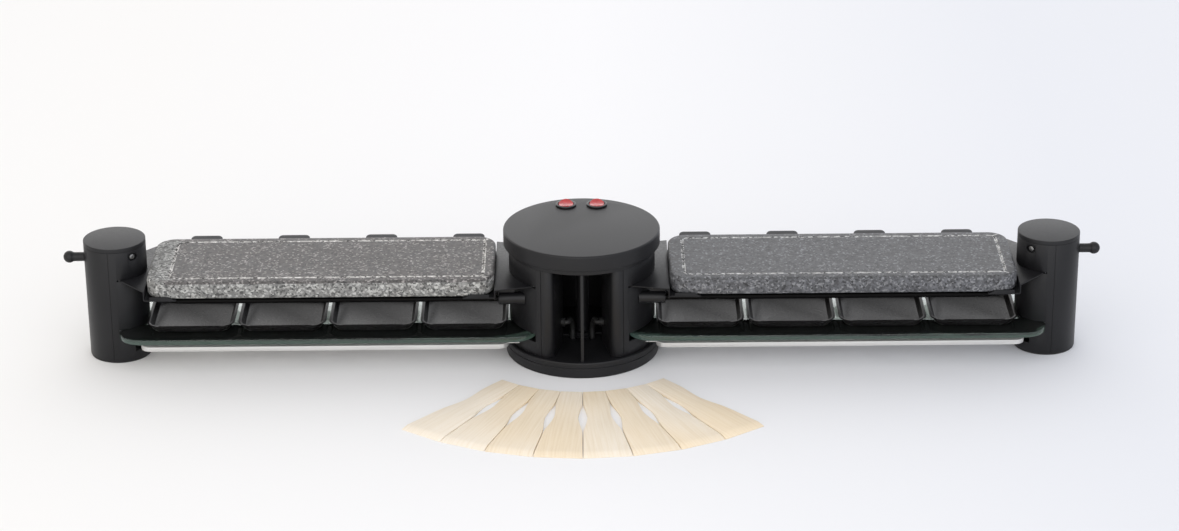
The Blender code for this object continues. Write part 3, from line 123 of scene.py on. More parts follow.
def hex_linear(code: str) -> tuple[float, float, float, float]:
    """Turns an sRGB hex colour into linear values.

    Args:
        code: Six hex digits, with or without a leading hash.

    Returns:
        Red, green, blue and an alpha of 1.
    """
    digits = code.lstrip("#")
    values = []
    for start in (0, 2, 4):
        share = int(digits[start:start + 2], 16) / 255
        values.append(share / 12.92 if share <= 0.04045 else ((share + 0.055) / 1.055) ** 2.4)
    return (*values, 1.0)


def add_node(tree: bpy.types.NodeTree, kind: NodeKind, inputs: dict[str | int, object] | None = None,
             stops: Stops = (), **settings: object) -> bpy.types.Node:
    """Adds one node with its settings and its links.

    Args:
        tree: The node tree to add to.
        kind: The node's kind.
        inputs: For each input, by name or number, a value, or an output or node (its first output) to link.
        stops: Place and hex colour of each stop of a colour ramp, in rising order.
        settings: Values of the node's own properties.

    Returns:
        The new node.
    """
    node = tree.nodes.new(kind.value)
    for key, value in settings.items():
        setattr(node, key, value)
    for key, value in (inputs or {}).items():
        if isinstance(value, bpy.types.Node):
            value = value.outputs[0]
        if isinstance(value, bpy.types.NodeSocket):
            tree.links.new(value, node.inputs[key])
        else:
            node.inputs[key].default_value = value
    if stops:
        elements = node.color_ramp.elements
        while len(elements) < len(stops):
            elements.new(0.5)
        for element, (place, colour) in zip(elements, stops):
            element.position = place
            element.color = hex_linear(colour)
    return node


@dataclass(frozen=True)
class Canvas:
    """A material under work: its tree, its shader and output, and each point's own place on the piece."""

    tree: bpy.types.NodeTree
    shader: bpy.types.Node
    output: bpy.types.Node
    place: bpy.types.NodeSocket
    # Nearly all of a noise lies between these values
    usual: ClassVar[Station] = (0.3, 0.7)

    def add(self, kind: NodeKind, inputs: dict[str | int, object] | None = None,
            **settings: object) -> bpy.types.Node:
        """Adds one node to the material."""
        return add_node(self.tree, kind, inputs, **settings)

    def hold(self, values: dict[str, object]) -> None:
        """Sets what is the same all over the surface on the shader's own sockets."""
        for key, value in values.items():
            self.shader.inputs[key].default_value = value

    def colour(self, output: bpy.types.NodeSocket) -> None:
        """Takes the surface's colour from an output."""
        self.tree.links.new(output, self.shader.inputs["Base Color"])

    def tones(self, factor: bpy.types.Node, dark: str, light: str) -> None:
        """Lets the colour run from dark to light with a pattern.

        Args:
            factor: The pattern.
            dark: Hex colour where it is low.
            light: Hex colour where it is high.
        """
        low, high = self.usual
        tone = self.add(NodeKind.RAMP, {"Fac": factor}, stops=((low, dark), (high, light)))
        self.colour(tone.outputs[0])

    def spread(self, factor: bpy.types.Node, low: float, high: float) -> None:
        """Lets the roughness run from low to high with a pattern.

        Args:
            factor: The pattern.
            low: Roughness where it is low.
            high: Roughness where it is high.
        """
        level = self.add(NodeKind.RANGE, {
            "Value": factor, "From Min": self.usual[0], "From Max": self.usual[1],
            "To Min": low, "To Max": high})
        self.tree.links.new(level.outputs[0], self.shader.inputs["Roughness"])

    def relief(self, height: bpy.types.Node, depth: float, strength: float) -> None:
        """Raises the surface by a pattern of the given depth in metres."""
        bump = self.add(NodeKind.BUMP, {"Height": height, "Distance": depth, "Strength": strength})
        self.tree.links.new(bump.outputs[0], self.shader.inputs["Normal"])


@dataclass(frozen=True)
class Finish:
    """A surface: the name of its material, its slot in the record and its main values."""

    name: str
    slot: str
    colour: str
    roughness: float
    gloss: ClassVar[float] = 0.5

    def material(self) -> bpy.types.Material:
        """Makes the finish's material, once.

        Returns:
            The material, with its pattern drawn.
        """
        found = bpy.data.materials.get(self.name)
        if found:
            return found
        made = bpy.data.materials.new(self.name)
        made.use_nodes = True
        tree = made.node_tree
        tree.nodes.clear()
        shader = add_node(tree, NodeKind.PRINCIPLED, {
            "Base Color": hex_linear(self.colour), "Roughness": self.roughness,
            "Specular IOR Level": self.gloss})
        output = add_node(tree, NodeKind.OUTPUT, {"Surface": shader})
        self.dress(Canvas(tree, shader, output, add_node(tree, NodeKind.COORDINATES).outputs["Object"]))
        return made

    def dress(self, canvas: Canvas) -> None:
        """Draws the finish's own pattern."""


@dataclass(frozen=True)
class MouldedPlastic(Finish):
    """Heat-proof plastic from a spark-eroded mould: an even satin with a fine grain."""

    gloss: ClassVar[float] = 0.34
    dark: str = "#141416"
    light: str = "#19191b"
    grain: float = 1.1 * MM

    def dress(self, canvas: Canvas) -> None:
        """Draws a broad change of tone and the mould's grain.

        Args:
            canvas: The material to draw on.
        """
        # The real grain is about 0.1 mm and wouldn't show, so it is drawn at 1.1 mm
        grain = canvas.add(NodeKind.NOISE, {"Vector": canvas.place, "Scale": 1 / self.grain, "Detail": 2.0})
        cloud = canvas.add(NodeKind.NOISE, {"Vector": canvas.place, "Scale": 1 / (45 * MM), "Detail": 3.0})
        canvas.tones(cloud, self.dark, self.light)
        canvas.spread(grain, self.roughness - 0.05, self.roughness + 0.05)
        canvas.relief(grain, 0.03 * MM, 0.5)


@dataclass(frozen=True)
class PaintedSteel(Finish):
    """Folded sheet steel under black stove paint: smooth, with a faint ripple in the gloss."""

    gloss: ClassVar[float] = 0.2

    def dress(self, canvas: Canvas) -> None:
        """Draws a slow ripple and a slightly uneven gloss.

        Args:
            canvas: The material to draw on.
        """
        ripple = canvas.add(NodeKind.NOISE, {"Vector": canvas.place, "Scale": 1 / (3 * MM), "Detail": 1.0})
        cloud = canvas.add(NodeKind.NOISE, {"Vector": canvas.place, "Scale": 1 / (25 * MM), "Detail": 3.0})
        canvas.tones(cloud, "#161618", "#1d1d1f")
        canvas.spread(ripple, self.roughness - 0.06, self.roughness + 0.06)
        canvas.relief(ripple, 0.02 * MM, 0.6)


@dataclass(frozen=True)
class Rubber(Finish):
    """Moulded rubber: dull, with dust in its grain."""

    def dress(self, canvas: Canvas) -> None:
        """Draws dusty patches and a soft grain.

        Args:
            canvas: The material to draw on.
        """
        # The grain is drawn about four times as coarse as real, so that it shows
        grain = canvas.add(NodeKind.NOISE, {"Vector": canvas.place, "Scale": 1 / (0.8 * MM), "Detail": 3.0})
        dust = canvas.add(NodeKind.NOISE, {"Vector": canvas.place, "Scale": 1 / (9 * MM), "Detail": 3.0})
        canvas.tones(dust, "#1a1a1a", "#242424")
        canvas.relief(grain, 0.04 * MM, 0.5)


@dataclass(frozen=True)
class TintedPlastic(Finish):
    """Clear red plastic of a lit rocker: a deep colour under a glossy skin, letting light through, with a
    faint painted glow.
    """

    def dress(self, canvas: Canvas) -> None:
        """Lets light through, paints a faint glow, and gives the gloss slight sinks.

        Args:
            canvas: The material to draw on.
        """
        # The faint red emission is a painted glow, not a lamp
        canvas.hold({"Transmission Weight": 0.35, "Coat Weight": 0.6, "Subsurface Weight": 0.3,
                     "Subsurface Radius": (0.004, 0.0008, 0.0008),
                     "Emission Color": hex_linear("#ff3036"), "Emission Strength": 0.04})
        cloud = canvas.add(NodeKind.NOISE, {"Vector": canvas.place, "Scale": 1 / (4 * MM), "Detail": 3.0})
        sinks = canvas.add(NodeKind.NOISE, {"Vector": canvas.place, "Scale": 1 / (5 * MM), "Detail": 1.0})
        canvas.tones(cloud, "#b5151c", "#cf2830")
        canvas.relief(sinks, 0.1 * MM, 0.4)


@dataclass(frozen=True)
class BareMetal(Finish):
    """Bare metal with rolling or drawing marks along X: a streaky sheen, longer one way."""

    dark: str = "#c9c9c7"
    light: str = "#dededc"
    stretch: float = 60.0
    metal: float = 1.0

    def dress(self, canvas: Canvas) -> None:
        """Draws fine marks, much longer along X than across.

        Args:
            canvas: The material to draw on.
        """
        canvas.hold({"Metallic": self.metal})
        drawn = canvas.add(NodeKind.MAPPING, {"Vector": canvas.place, "Scale": (1 / self.stretch, 1.0, 1.0)})
        # Real marks are about 0.1 mm wide; they are drawn at 0.9 mm so that they show
        marks = canvas.add(NodeKind.NOISE, {"Vector": drawn, "Scale": 1 / (0.9 * MM), "Detail": 4.0})
        canvas.tones(marks, self.dark, self.light)
        canvas.spread(marks, self.roughness - 0.07, self.roughness + 0.09)
        canvas.relief(marks, 0.01 * MM, 0.4)


@dataclass(frozen=True)
class FloatGlass(Finish):
    """Float glass: clear through its face, green along its edge because iron tints the long way through."""

    def dress(self, canvas: Canvas) -> None:
        """Clears the faces, puts the tint in the glass itself and adds faint smears.

        Args:
            canvas: The material to draw on.
        """
        canvas.hold({"Transmission Weight": 0.991, "IOR": 1.5})
        tint = canvas.add(NodeKind.ABSORPTION, {"Color": hex_linear("#cad1ce"), "Density": 65.0})
        canvas.tree.links.new(tint.outputs[0], canvas.output.inputs["Volume"])
        smear = canvas.add(NodeKind.NOISE, {"Vector": canvas.place, "Scale": 1 / (30 * MM), "Detail": 2.0})
        canvas.spread(smear, 0.0, 0.03)


@dataclass(frozen=True)
class Granite(Finish):
    """Granite: grains of pale feldspar, grey quartz and black mica, about 2 mm across, in clumps of 7 mm."""

    stops: Stops = ((0.0, "#232222"), (0.12, "#4c4a49"), (0.45, "#625f5e"), (0.86, "#a19d9b"))
    grain: float = 1.9 * MM
    tint: tuple[str, str] = ("#655e5b", "#656667")
    share: float = 0.12
    pits: float = 0.12 * MM

    def dress(self, canvas: Canvas) -> None:
        """Gives each grain one colour, lets clumps lie darker or lighter, and tints the stone in clouds.

        Args:
            canvas: The material to draw on.
        """
        warp = canvas.add(NodeKind.NOISE, {"Vector": canvas.place, "Scale": 1 / (2 * self.grain)})
        bent = canvas.add(NodeKind.VECTOR_MATH, {
            0: warp.outputs["Color"], 1: (self.grain,) * 3, 2: canvas.place}, operation="MULTIPLY_ADD")
        cells = canvas.add(NodeKind.CELLS, {"Vector": bent, "Scale": 1 / self.grain})
        pick = canvas.add(NodeKind.SPLIT_COLOUR, {"Color": cells.outputs["Color"]})
        grains = canvas.add(NodeKind.RAMP, {"Fac": pick}, stops=self.stops)
        grains.color_ramp.interpolation = "CONSTANT"
        broad = canvas.add(NodeKind.NOISE, {"Vector": canvas.place, "Scale": 1 / (35 * MM), "Detail": 3.0})
        cloud = canvas.add(NodeKind.RAMP, {"Fac": broad}, stops=((0.35, self.tint[0]), (0.65, self.tint[1])))
        mixed = canvas.add(NodeKind.MIX, {MIX_FACTOR: self.share, MIX_FIRST: grains, MIX_SECOND: cloud},
                           data_type="RGBA")
        lumps = canvas.add(NodeKind.NOISE, {"Vector": bent, "Scale": 1 / (7 * MM), "Detail": 2.0})
        clumps = canvas.add(NodeKind.RAMP, {"Fac": lumps},
                            stops=((0.36, "#d6d5d4"), (0.5, "#efefee"), (0.64, "#ffffff")))
        toned = canvas.add(NodeKind.MIX, {
            MIX_FACTOR: 1.0, MIX_FIRST: mixed.outputs[MIX_RESULT], MIX_SECOND: clumps},
            data_type="RGBA", blend_type="MULTIPLY")
        canvas.colour(toned.outputs[MIX_RESULT])
        canvas.spread(pick, self.roughness - 0.1, self.roughness + 0.1)
        pitted = canvas.add(NodeKind.NOISE, {"Vector": canvas.place, "Scale": 1 / self.grain, "Detail": 3.0})
        canvas.relief(pitted, self.pits, 0.6)


@dataclass(frozen=True)
class NonStick(Finish):
    """Dark non-stick coating sprayed on sheet: soft sheen and a fine orange peel."""

    gloss: ClassVar[float] = 0.14

    def dress(self, canvas: Canvas) -> None:
        """Draws orange peel at 1.5 mm and a slow change of tone.

        Args:
            canvas: The material to draw on.
        """
        peel = canvas.add(NodeKind.NOISE, {"Vector": canvas.place, "Scale": 1 / (1.5 * MM), "Detail": 2.0})
        cloud = canvas.add(NodeKind.NOISE, {"Vector": canvas.place, "Scale": 1 / (20 * MM), "Detail": 3.0})
        canvas.tones(cloud, "#100e0f", "#161415")
        canvas.spread(peel, self.roughness - 0.05, self.roughness + 0.06)
        canvas.relief(peel, 0.02 * MM, 0.6)


@dataclass(frozen=True)
class Beech(Finish):
    """Planed pale beech: long fine grain with short darker flecks, read along each spatula's own UV."""

    def dress(self, canvas: Canvas) -> None:
        """Runs growth lines and flecks along the spatula, and gives each spatula its own tone.

        Args:
            canvas: The material to draw on.
        """
        along = canvas.add(NodeKind.UV_MAP, uv_map="grain")
        long_lines = canvas.add(NodeKind.MAPPING, {"Vector": along, "Scale": (1.0, 0.03, 1.0)})
        short_lines = canvas.add(NodeKind.MAPPING, {"Vector": along, "Scale": (1.0, 0.2, 1.0)})
        growth = canvas.add(NodeKind.NOISE, {"Vector": long_lines, "Scale": 1 / (2.2 * MM), "Detail": 3.0})
        fleck = canvas.add(NodeKind.CELLS, {"Vector": short_lines, "Scale": 1 / (1.3 * MM)})
        base = canvas.add(NodeKind.RAMP, {"Fac": growth},
                          stops=((0.25, "#ecdfc9"), (0.5, "#f3e8d6"), (0.75, "#f7eee0")))
        spots = canvas.add(NodeKind.RAMP, {"Fac": fleck.outputs["Distance"]},
                           stops=((0.05, "#e6d6bd"), (0.2, "#ffffff")))
        mixed = canvas.add(NodeKind.MIX, {MIX_FACTOR: 0.3, MIX_FIRST: base, MIX_SECOND: spots},
                           data_type="RGBA", blend_type="MULTIPLY")
        broad = canvas.add(NodeKind.NOISE, {"Vector": along, "Scale": 1 / (240 * MM), "Detail": 0.0})
        tone = canvas.add(NodeKind.RAMP, {"Fac": broad}, stops=((0.35, "#faf3e6"), (0.65, "#ffffff")))
        toned = canvas.add(NodeKind.MIX, {
            MIX_FACTOR: 1.0, MIX_FIRST: mixed.outputs[MIX_RESULT], MIX_SECOND: tone},
            data_type="RGBA", blend_type="MULTIPLY")
        canvas.colour(toned.outputs[MIX_RESULT])
        canvas.spread(growth, 0.55, 0.68)
        canvas.relief(growth, 0.03 * MM, 0.4)


class Finishes:
    """All finishes of the grill, in a maker's plain words."""

    # Moulded parts: the shells are satin, the switch rings polished, the pan handles a lighter grey
    plastic = MouldedPlastic("Moulded satin black plastic", "satin_black_plastic", "#19191b", 0.42)
    bezel = MouldedPlastic("Polished black plastic", "satin_black_plastic", "#141416", 0.16,
                           "#121214", "#161618")
    handle = MouldedPlastic("Moulded dark grey handle plastic", "black_handle_plastic", "#3a3a3c", 0.5,
                            "#38383a", "#424244")
    rubber = Rubber("Moulded black rubber", "black_rubber", "#1e1e1e", 0.8)
    cable = Rubber("Grey silicone cable sheath", "grey_cable_sheath", "#3a3a3a", 0.55)
    rocker = TintedPlastic("Tinted clear red plastic", "red_clear_plastic", "#cc2a30", 0.12)
    # Sheet and tube: black paint, a tube dulled by heat and painted near black as shade under the stone, and
    # a bright tray that mirrors softly
    steel = PaintedSteel("Stove painted sheet steel", "black_painted_steel", "#1a1a1c", 0.34)
    # The heater's near-black tone is partly real heat tint and partly painted shade under the stone
    heater = BareMetal("Heat dulled heater tube", "heater_steel", "#181717", 0.5, "#111111", "#1e1d1d")
    tray = BareMetal("Rolled bright aluminium", "bright_aluminium", "#dddcda", 0.6,
                     "#d4d3d1", "#e6e5e3", 60.0, 0.75)
    screw = BareMetal("Zinc plated screw", "bright_aluminium", "#9c9c9b", 0.3, "#8c8c8b", "#a6a6a5", 4.0)
    pan = NonStick("Non-stick coated sheet", "non_stick_coating", "#151314", 0.3)
    # Glass and wood: clear with a green edge, and pale with long fine grain
    glass = FloatGlass("Float glass", "clear_glass", "#e6eeea", 0.0)
    wood = Beech("Planed pale beech", "pale_beech", "#f0e2cc", 0.6)
    # Stones: honed on top, paler and rougher where they are sawn, nearly white where the line is cut
    stone_left = Granite("Honed granite, warm grey", "honed_granite", "#807c7a", 0.55)
    stone_right = Granite(
        "Honed granite, cool grey", "honed_granite", "#7a7b7e", 0.55,
        ((0.0, "#212123"), (0.12, "#464749"), (0.45, "#5b5c5f"), (0.88, "#88898d")),
        1.8 * MM, ("#5c5c5f", "#636467"), 0.12)
    edge_left = Granite(
        "Sawn granite, warm grey", "honed_granite", "#999693", 0.75,
        ((0.0, "#343434"), (0.14, "#6f6f6e"), (0.45, "#959593"), (0.78, "#c2c2bf")),
        2.1 * MM, ("#8f8f8d", "#949593"), 0.2, 0.2 * MM)
    edge_right = Granite(
        "Sawn granite, cool grey", "honed_granite", "#8c8d90", 0.75,
        ((0.0, "#29292b"), (0.14, "#4e4f52"), (0.45, "#67686c"), (0.8, "#8a8b8e")),
        2.1 * MM, ("#5f6063", "#65666a"), 0.18, 0.2 * MM)
    groove_left = Granite(
        "Cut groove in warm grey granite", "honed_granite", "#c0bebb", 0.9,
        ((0.0, "#4a4847"), (0.25, "#8c8a88"), (0.42, "#c6c4c1"), (0.7, "#e9e7e4")),
        2.6 * MM, ("#c8c6c3", "#cdccca"), 0.06, 0.1 * MM)
    groove_right = Granite(
        "Cut groove in cool grey granite", "honed_granite", "#a6a7a8", 0.9,
        ((0.0, "#4e4f51"), (0.25, "#88898b"), (0.45, "#b9b9b9"), (0.75, "#dcdcdb")),
        2.6 * MM, ("#b9b9b9", "#bdbebf"), 0.08, 0.1 * MM)
    # The top, the sawn faces and the cut line of each stone
    stones = {Side.LEFT: (stone_left, edge_left, groove_left),
              Side.RIGHT: (stone_right, edge_right, groove_right)}


def fresh() -> None:
    """Leaves edit mode and deselects everything."""
    if bpy.context.object and bpy.context.object.mode != "OBJECT":
        bpy.ops.object.mode_set(mode="OBJECT")
    bpy.ops.object.select_all(action="DESELECT")


def take(obj: bpy.types.Object) -> None:
    """Puts a new object into the scene, selected and active.

    Args:
        obj: The object, in no collection yet.
    """
    bpy.context.scene.collection.objects.link(obj)
    bpy.context.view_layer.objects.active = obj
    obj.select_set(True)


def lies_level(face: bmesh.types.BMFace) -> bool:
    """Tells whether a face looks up or down."""
    return abs(face.normal.z) > 0.9


def stands_upright(edge: bmesh.types.BMEdge) -> bool:
    """Tells whether an edge runs up and down."""
    return abs((edge.verts[0].co - edge.verts[1].co).normalized().z) > 0.9


class Workpiece:
    """One piece on the bench: a mesh object that edit-mode tools and modifiers shape."""

    def __init__(self, name: str, obj: bpy.types.Object | None = None) -> None:
        """Takes over the active object, or a given one, under a name.

        Args:
            name: The piece's name.
            obj: The object, where it isn't the active one.
        """
        self.obj = obj or bpy.context.object
        self.obj.name = name
        self.obj.data.name = name

    @classmethod
    def disc(cls, name: str, radius: float, steps: int, height: float = 0.0,
             filled: bool = True) -> "Workpiece":
        """Starts from a circle about Z.

        Args:
            name: The piece's name.
            radius: Its radius.
            steps: Points round it.
            height: Its height.
            filled: Whether it has a face.

        Returns:
            The piece.
        """
        fresh()
        bpy.ops.mesh.primitive_circle_add(
            vertices=steps, radius=radius, location=(0, 0, height),
            fill_type="NGON" if filled else "NOTHING")
        return cls(name).settle()

    @classmethod
    def block(cls, name: str, low: Point, high: Point) -> "Workpiece":
        """Starts from a box.

        Args:
            name: The piece's name.
            low: Its lowest corner.
            high: Its highest corner.

        Returns:
            The piece.
        """
        fresh()
        bpy.ops.mesh.primitive_cube_add(size=1, location=(Vector(low) + Vector(high)) / 2)
        piece = cls(name)
        piece.obj.scale = Vector(high) - Vector(low)
        return piece.settle()

    @classmethod
    def bar(cls, name: str, radius: float, start: Point, end: Point, steps: int = 32) -> "Workpiece":
        """Starts from a cylinder.

        Args:
            name: The piece's name.
            radius: Its radius.
            start: The middle of one end.
            end: The middle of the other end.
            steps: Points round it.

        Returns:
            The piece.
        """
        fresh()
        axis = Vector(end) - Vector(start)
        bpy.ops.mesh.primitive_cylinder_add(
            vertices=steps, radius=radius, depth=axis.length, location=Vector(start) + axis / 2,
            rotation=axis.to_track_quat("Z", "Y").to_euler())
        return cls(name).settle()

    @classmethod
    def strip(cls, name: str, outer: float, wall: float, heights: Station) -> "Workpiece":
        """Starts from an upright strip on the X axis, the cross-section of a curved wall.

        Args:
            name: The piece's name.
            outer: How far its outer edge is from Z.
            wall: Its width.
            heights: Where it begins and ends.

        Returns:
            The piece.
        """
        fresh()
        low, high = heights
        bpy.ops.mesh.primitive_plane_add(size=1, location=(outer - wall / 2, 0, (low + high) / 2),
                                         rotation=(QUARTER_TURN, 0, 0))
        piece = cls(name)
        piece.obj.scale = (wall, high - low, 1)
        return piece.settle()

    @classmethod
    def of_node(cls, name: str, node: str) -> "Workpiece":
        """Starts from a merged copy of a node of the frame.

        Args:
            name: The piece's name.
            node: The node's name.

        Returns:
            The piece, in edit mode, with flat faces joined.
        """
        fresh()
        obj = bpy.data.objects.new(name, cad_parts[node].data.copy())
        obj.data.materials.clear()
        take(obj)
        if obj.data.has_custom_normals:
            bpy.ops.mesh.customdata_custom_splitnormals_clear()
        piece = cls(name, obj).weld()
        bpy.ops.mesh.dissolve_limited(angle_limit=math.radians(0.5))
        return piece

    def only(self) -> "Workpiece":
        """Makes this piece the one that is selected, in object mode.

        Returns:
            The piece itself.
        """
        fresh()
        self.obj.select_set(True)
        bpy.context.view_layer.objects.active = self.obj
        return self

    def settle(self) -> "Workpiece":
        """Writes the object's place, turn and scale into its mesh.

        Returns:
            The piece itself.
        """
        self.only()
        bpy.ops.object.transform_apply(location=True, rotation=True, scale=True)
        return self

    def place(self, location: Point = (0, 0, 0), rotation: Point = (0, 0, 0)) -> "Workpiece":
        """Turns the piece about the origin, moves it and writes both into its mesh.

        Args:
            location: How far it moves.
            rotation: How far it turns about X, Y and Z.

        Returns:
            The piece itself.
        """
        self.only()
        self.obj.rotation_euler = rotation
        self.obj.location = location
        return self.settle()

    def edit(self, kind: Kind) -> bmesh.types.BMesh:
        """Enters edit mode with nothing selected.

        Args:
            kind: What the next selection is made of.

        Returns:
            The edit mesh.
        """
        if bpy.context.view_layer.objects.active != self.obj or self.obj.mode != "EDIT":
            self.only()
            bpy.ops.object.mode_set(mode="EDIT")
        bpy.ops.mesh.select_mode(type=kind.value)
        bpy.ops.mesh.select_all(action="DESELECT")
        return bmesh.from_edit_mesh(self.obj.data)

    def every(self, kind: Kind = Kind.FACE) -> "Workpiece":
        """Selects the whole mesh.

        Args:
            kind: What the selection is made of.

        Returns:
            The piece itself.
        """
        self.edit(kind)
        bpy.ops.mesh.select_all(action="SELECT")
        return self

    def pick(self, kind: Kind, test: Callable[[object], bool]) -> "Workpiece":
        """Selects what passes a test.

        Args:
            kind: Whether vertices, edges or faces are tested.
            test: Takes the edit mesh's element and tells whether it is wanted.

        Returns:
            The piece itself.
        """
        mesh = self.edit(kind)
        items = {Kind.VERT: mesh.verts, Kind.EDGE: mesh.edges, Kind.FACE: mesh.faces}[kind]
        for item in items:
            if test(item):
                item.select_set(True)
        mesh.select_flush_mode()
        bmesh.update_edit_mesh(self.obj.data)
        return self

    def extrude(self, x: float = 0.0, y: float = 0.0, z: float = 0.0) -> "Workpiece":
        """Extrudes the selection by a step."""
        bpy.ops.mesh.extrude_region_move(TRANSFORM_OT_translate={"value": (x, y, z)})
        return self

    def move(self, x: float = 0.0, y: float = 0.0, z: float = 0.0) -> "Workpiece":
        """Moves the selection."""
        bpy.ops.transform.translate(value=(x, y, z))
        return self

    def resize(self, x: float, y: float, z: float = 1.0, centre: Point = (0, 0, 0)) -> "Workpiece":
        """Scales the selection about a point."""
        bpy.ops.transform.resize(value=(x, y, z), center_override=centre)
        return self

    def swing(self, angle: float, centre: Point = (0, 0, 0)) -> "Workpiece":
        """Turns the selection about an upright line; with no window the tool turns the other way."""
        bpy.ops.transform.rotate(value=-angle, orient_axis="Z", center_override=centre)
        return self

    def inset(self, thickness: float, depth: float = 0.0) -> "Workpiece":
        """Insets the selected faces."""
        bpy.ops.mesh.inset(thickness=thickness, depth=depth, use_boundary=True, use_even_offset=True)
        return self

    def bevel(self, width: float, segments: int = 2, affect: str = "EDGES") -> "Workpiece":
        """Rounds the selected edges or points."""
        bpy.ops.mesh.bevel(offset=width, segments=segments, affect=affect, clamp_overlap=affect == "EDGES")
        return self

    def delete(self, what: str) -> "Workpiece":
        """Deletes a kind of element from the selection."""
        bpy.ops.mesh.delete(type=what)
        return self

    def weld(self, distance: float = 0.002 * MM) -> "Workpiece":
        """Merges doubled points of the whole mesh and points its faces outwards.

        Args:
            distance: How near doubled points lie.

        Returns:
            The piece itself.
        """
        self.every(Kind.VERT)
        bpy.ops.mesh.remove_doubles(threshold=distance)
        bpy.ops.mesh.normals_make_consistent(inside=False)
        return self

    def modify(self, kind: str, **settings: object) -> "Workpiece":
        """Adds a modifier and applies it.

        Args:
            kind: The modifier's type.
            settings: Values of its properties.

        Returns:
            The piece itself.
        """
        self.only()
        step = self.obj.modifiers.new(kind.lower(), kind)
        for key, value in settings.items():
            setattr(step, key, value)
        bpy.ops.object.modifier_apply(modifier=step.name)
        return self

    def combine(self, join: Join, others: Sequence["Workpiece"]) -> "Workpiece":
        """Combines the piece with others, which are used up.

        Args:
            join: How they are combined.
            others: The other pieces, in order.

        Returns:
            The piece itself.
        """
        for other in others:
            self.modify("BOOLEAN", operation=join.value, solver="EXACT", object=other.obj)
            other.discard()
        return self

    def carve(self, *tools: "Workpiece") -> "Workpiece":
        """Cuts tools out of the piece."""
        return self.combine(Join.CUT, tools)

    def keep(self, *tools: "Workpiece") -> "Workpiece":
        """Keeps what lies inside the tools."""
        return self.combine(Join.COMMON, tools)

    def fuse(self, *others: "Workpiece") -> "Workpiece":
        """Unites other pieces with this one."""
        return self.combine(Join.UNITE, others)

    def discard(self) -> None:
        """Removes the piece."""
        bpy.data.objects.remove(self.obj, do_unlink=True)

    def round_edges(self, width: float, segments: int = 2, angle: float = 35.0) -> "Workpiece":
        """Rounds every edge that turns by more than an angle."""
        return self.modify("BEVEL", width=width, segments=segments, limit_method="ANGLE",
                           angle_limit=math.radians(angle), harden_normals=False)

    def flip(self) -> "Workpiece":
        """Mirrors the piece to the other wing in place.

        Returns:
            The piece itself.
        """
        self.only()
        self.obj.scale = (-1, 1, 1)
        return self.settle().weld()

    def copy(self, name: str) -> "Workpiece":
        """Copies the piece with its own mesh.

        Args:
            name: The copy's name.

        Returns:
            The copy.
        """
        fresh()
        obj = self.obj.copy()
        obj.data = self.obj.data.copy()
        bpy.context.scene.collection.objects.link(obj)
        return Workpiece(name, obj)

    def finish(self, body: str, finish: Finish, *nodes: str, angle: float = 32.0) -> "Workpiece":
        """Shades and dresses the piece and lets it ride on a body.

        Args:
            body: The body of the frame that it moves with.
            finish: The finish of its whole surface, unless its faces have theirs.
            nodes: Nodes of the frame that it stands for.
            angle: Edges that turn by more than this stay sharp, in degrees.

        Returns:
            The piece itself.
        """
        self.only()
        bpy.ops.object.shade_smooth_by_angle(angle=math.radians(angle))
        if not self.obj.data.materials:
            self.obj.data.materials.append(finish.material())
        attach(self.obj, body)
        if nodes:
            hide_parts(*nodes)
        LOG.info("%s: %d faces", self.obj.name, len(self.obj.data.polygons))
        return self


def turned(name: str, stations: Sequence[Station], steps: int, ring: bool = False) -> Workpiece:
    """Raises a turned form about Z, ring by ring from a circle.

    Args:
        name: The piece's name.
        stations: Radius and height of each ring, from one end to the other.
        steps: Points round the axis.
        ring: Whether a hole runs through the form, so that its last ring meets its first.

    Returns:
        The closed piece.
    """
    radius, height = stations[0]
    piece = Workpiece.disc(name, radius, steps, height, not ring).every(Kind.EDGE if ring else Kind.FACE)
    closing = stations[:1] if ring else []
    for next_radius, next_height in [*stations[1:], *closing]:
        piece.extrude(z=next_height - height)
        piece.resize(next_radius / radius, next_radius / radius)
        radius, height = next_radius, next_height
    return piece.weld()


def arc_wall(name: str, outer: float, wall: float, angles: Station, heights: Station,
             steps: int) -> Workpiece:
    """Spins an upright strip about Z into a curved wall.

    Args:
        name: The piece's name.
        outer: Outer radius.
        wall: Thickness.
        angles: First and last angle, in degrees.
        heights: Heights of its lower and upper edge.
        steps: Faces along the arc.

    Returns:
        The closed wall.
    """
    start, end = angles
    piece = Workpiece.strip(name, outer, wall, heights).every()
    bpy.ops.mesh.spin(steps=steps, angle=math.radians(end - start), center=(0, 0, 0), axis=(0, 0, 1))
    piece.weld()
    # The spin may run either way, so the wall is turned into place from the end that it began with
    reach = max(vertex.co.y for vertex in piece.obj.data.vertices)
    return piece.place(rotation=(0, 0, math.radians(start if reach > wall else end)))


def arc_points(centre: Station, radius: float, start: float, end: float, count: int) -> list[Station]:
    """Lists points along an arc, both ends included.

    Args:
        centre: The arc's centre.
        radius: Its radius.
        start: Its first angle, in degrees.
        end: Its last angle, in degrees.
        count: The number of steps.

    Returns:
        The points.
    """
    points = []
    for index in range(count + 1):
        angle = math.radians(start + (end - start) * index / count)
        points.append((centre[0] + radius * math.cos(angle), centre[1] + radius * math.sin(angle)))
    return points


def top_round(outer: float, top: float, radius: float, count: int) -> list[Station]:
    """Lists the stations of a turned form's rounded top edge, from the top outwards."""
    return arc_points((outer - radius, top - radius), radius, 90, 0, count)


def slab(name: str, low: Point, high: Point, corner: float, steps: int) -> Workpiece:
    """Makes a slab with rounded upright corners.

    Args:
        name: The piece's name.
        low: Its lowest corner.
        high: Its highest corner.
        corner: The radius of its corners.
        steps: Faces along each corner.

    Returns:
        The slab.
    """
    return Workpiece.block(name, low, high).pick(Kind.EDGE, stands_upright).bevel(corner, steps)


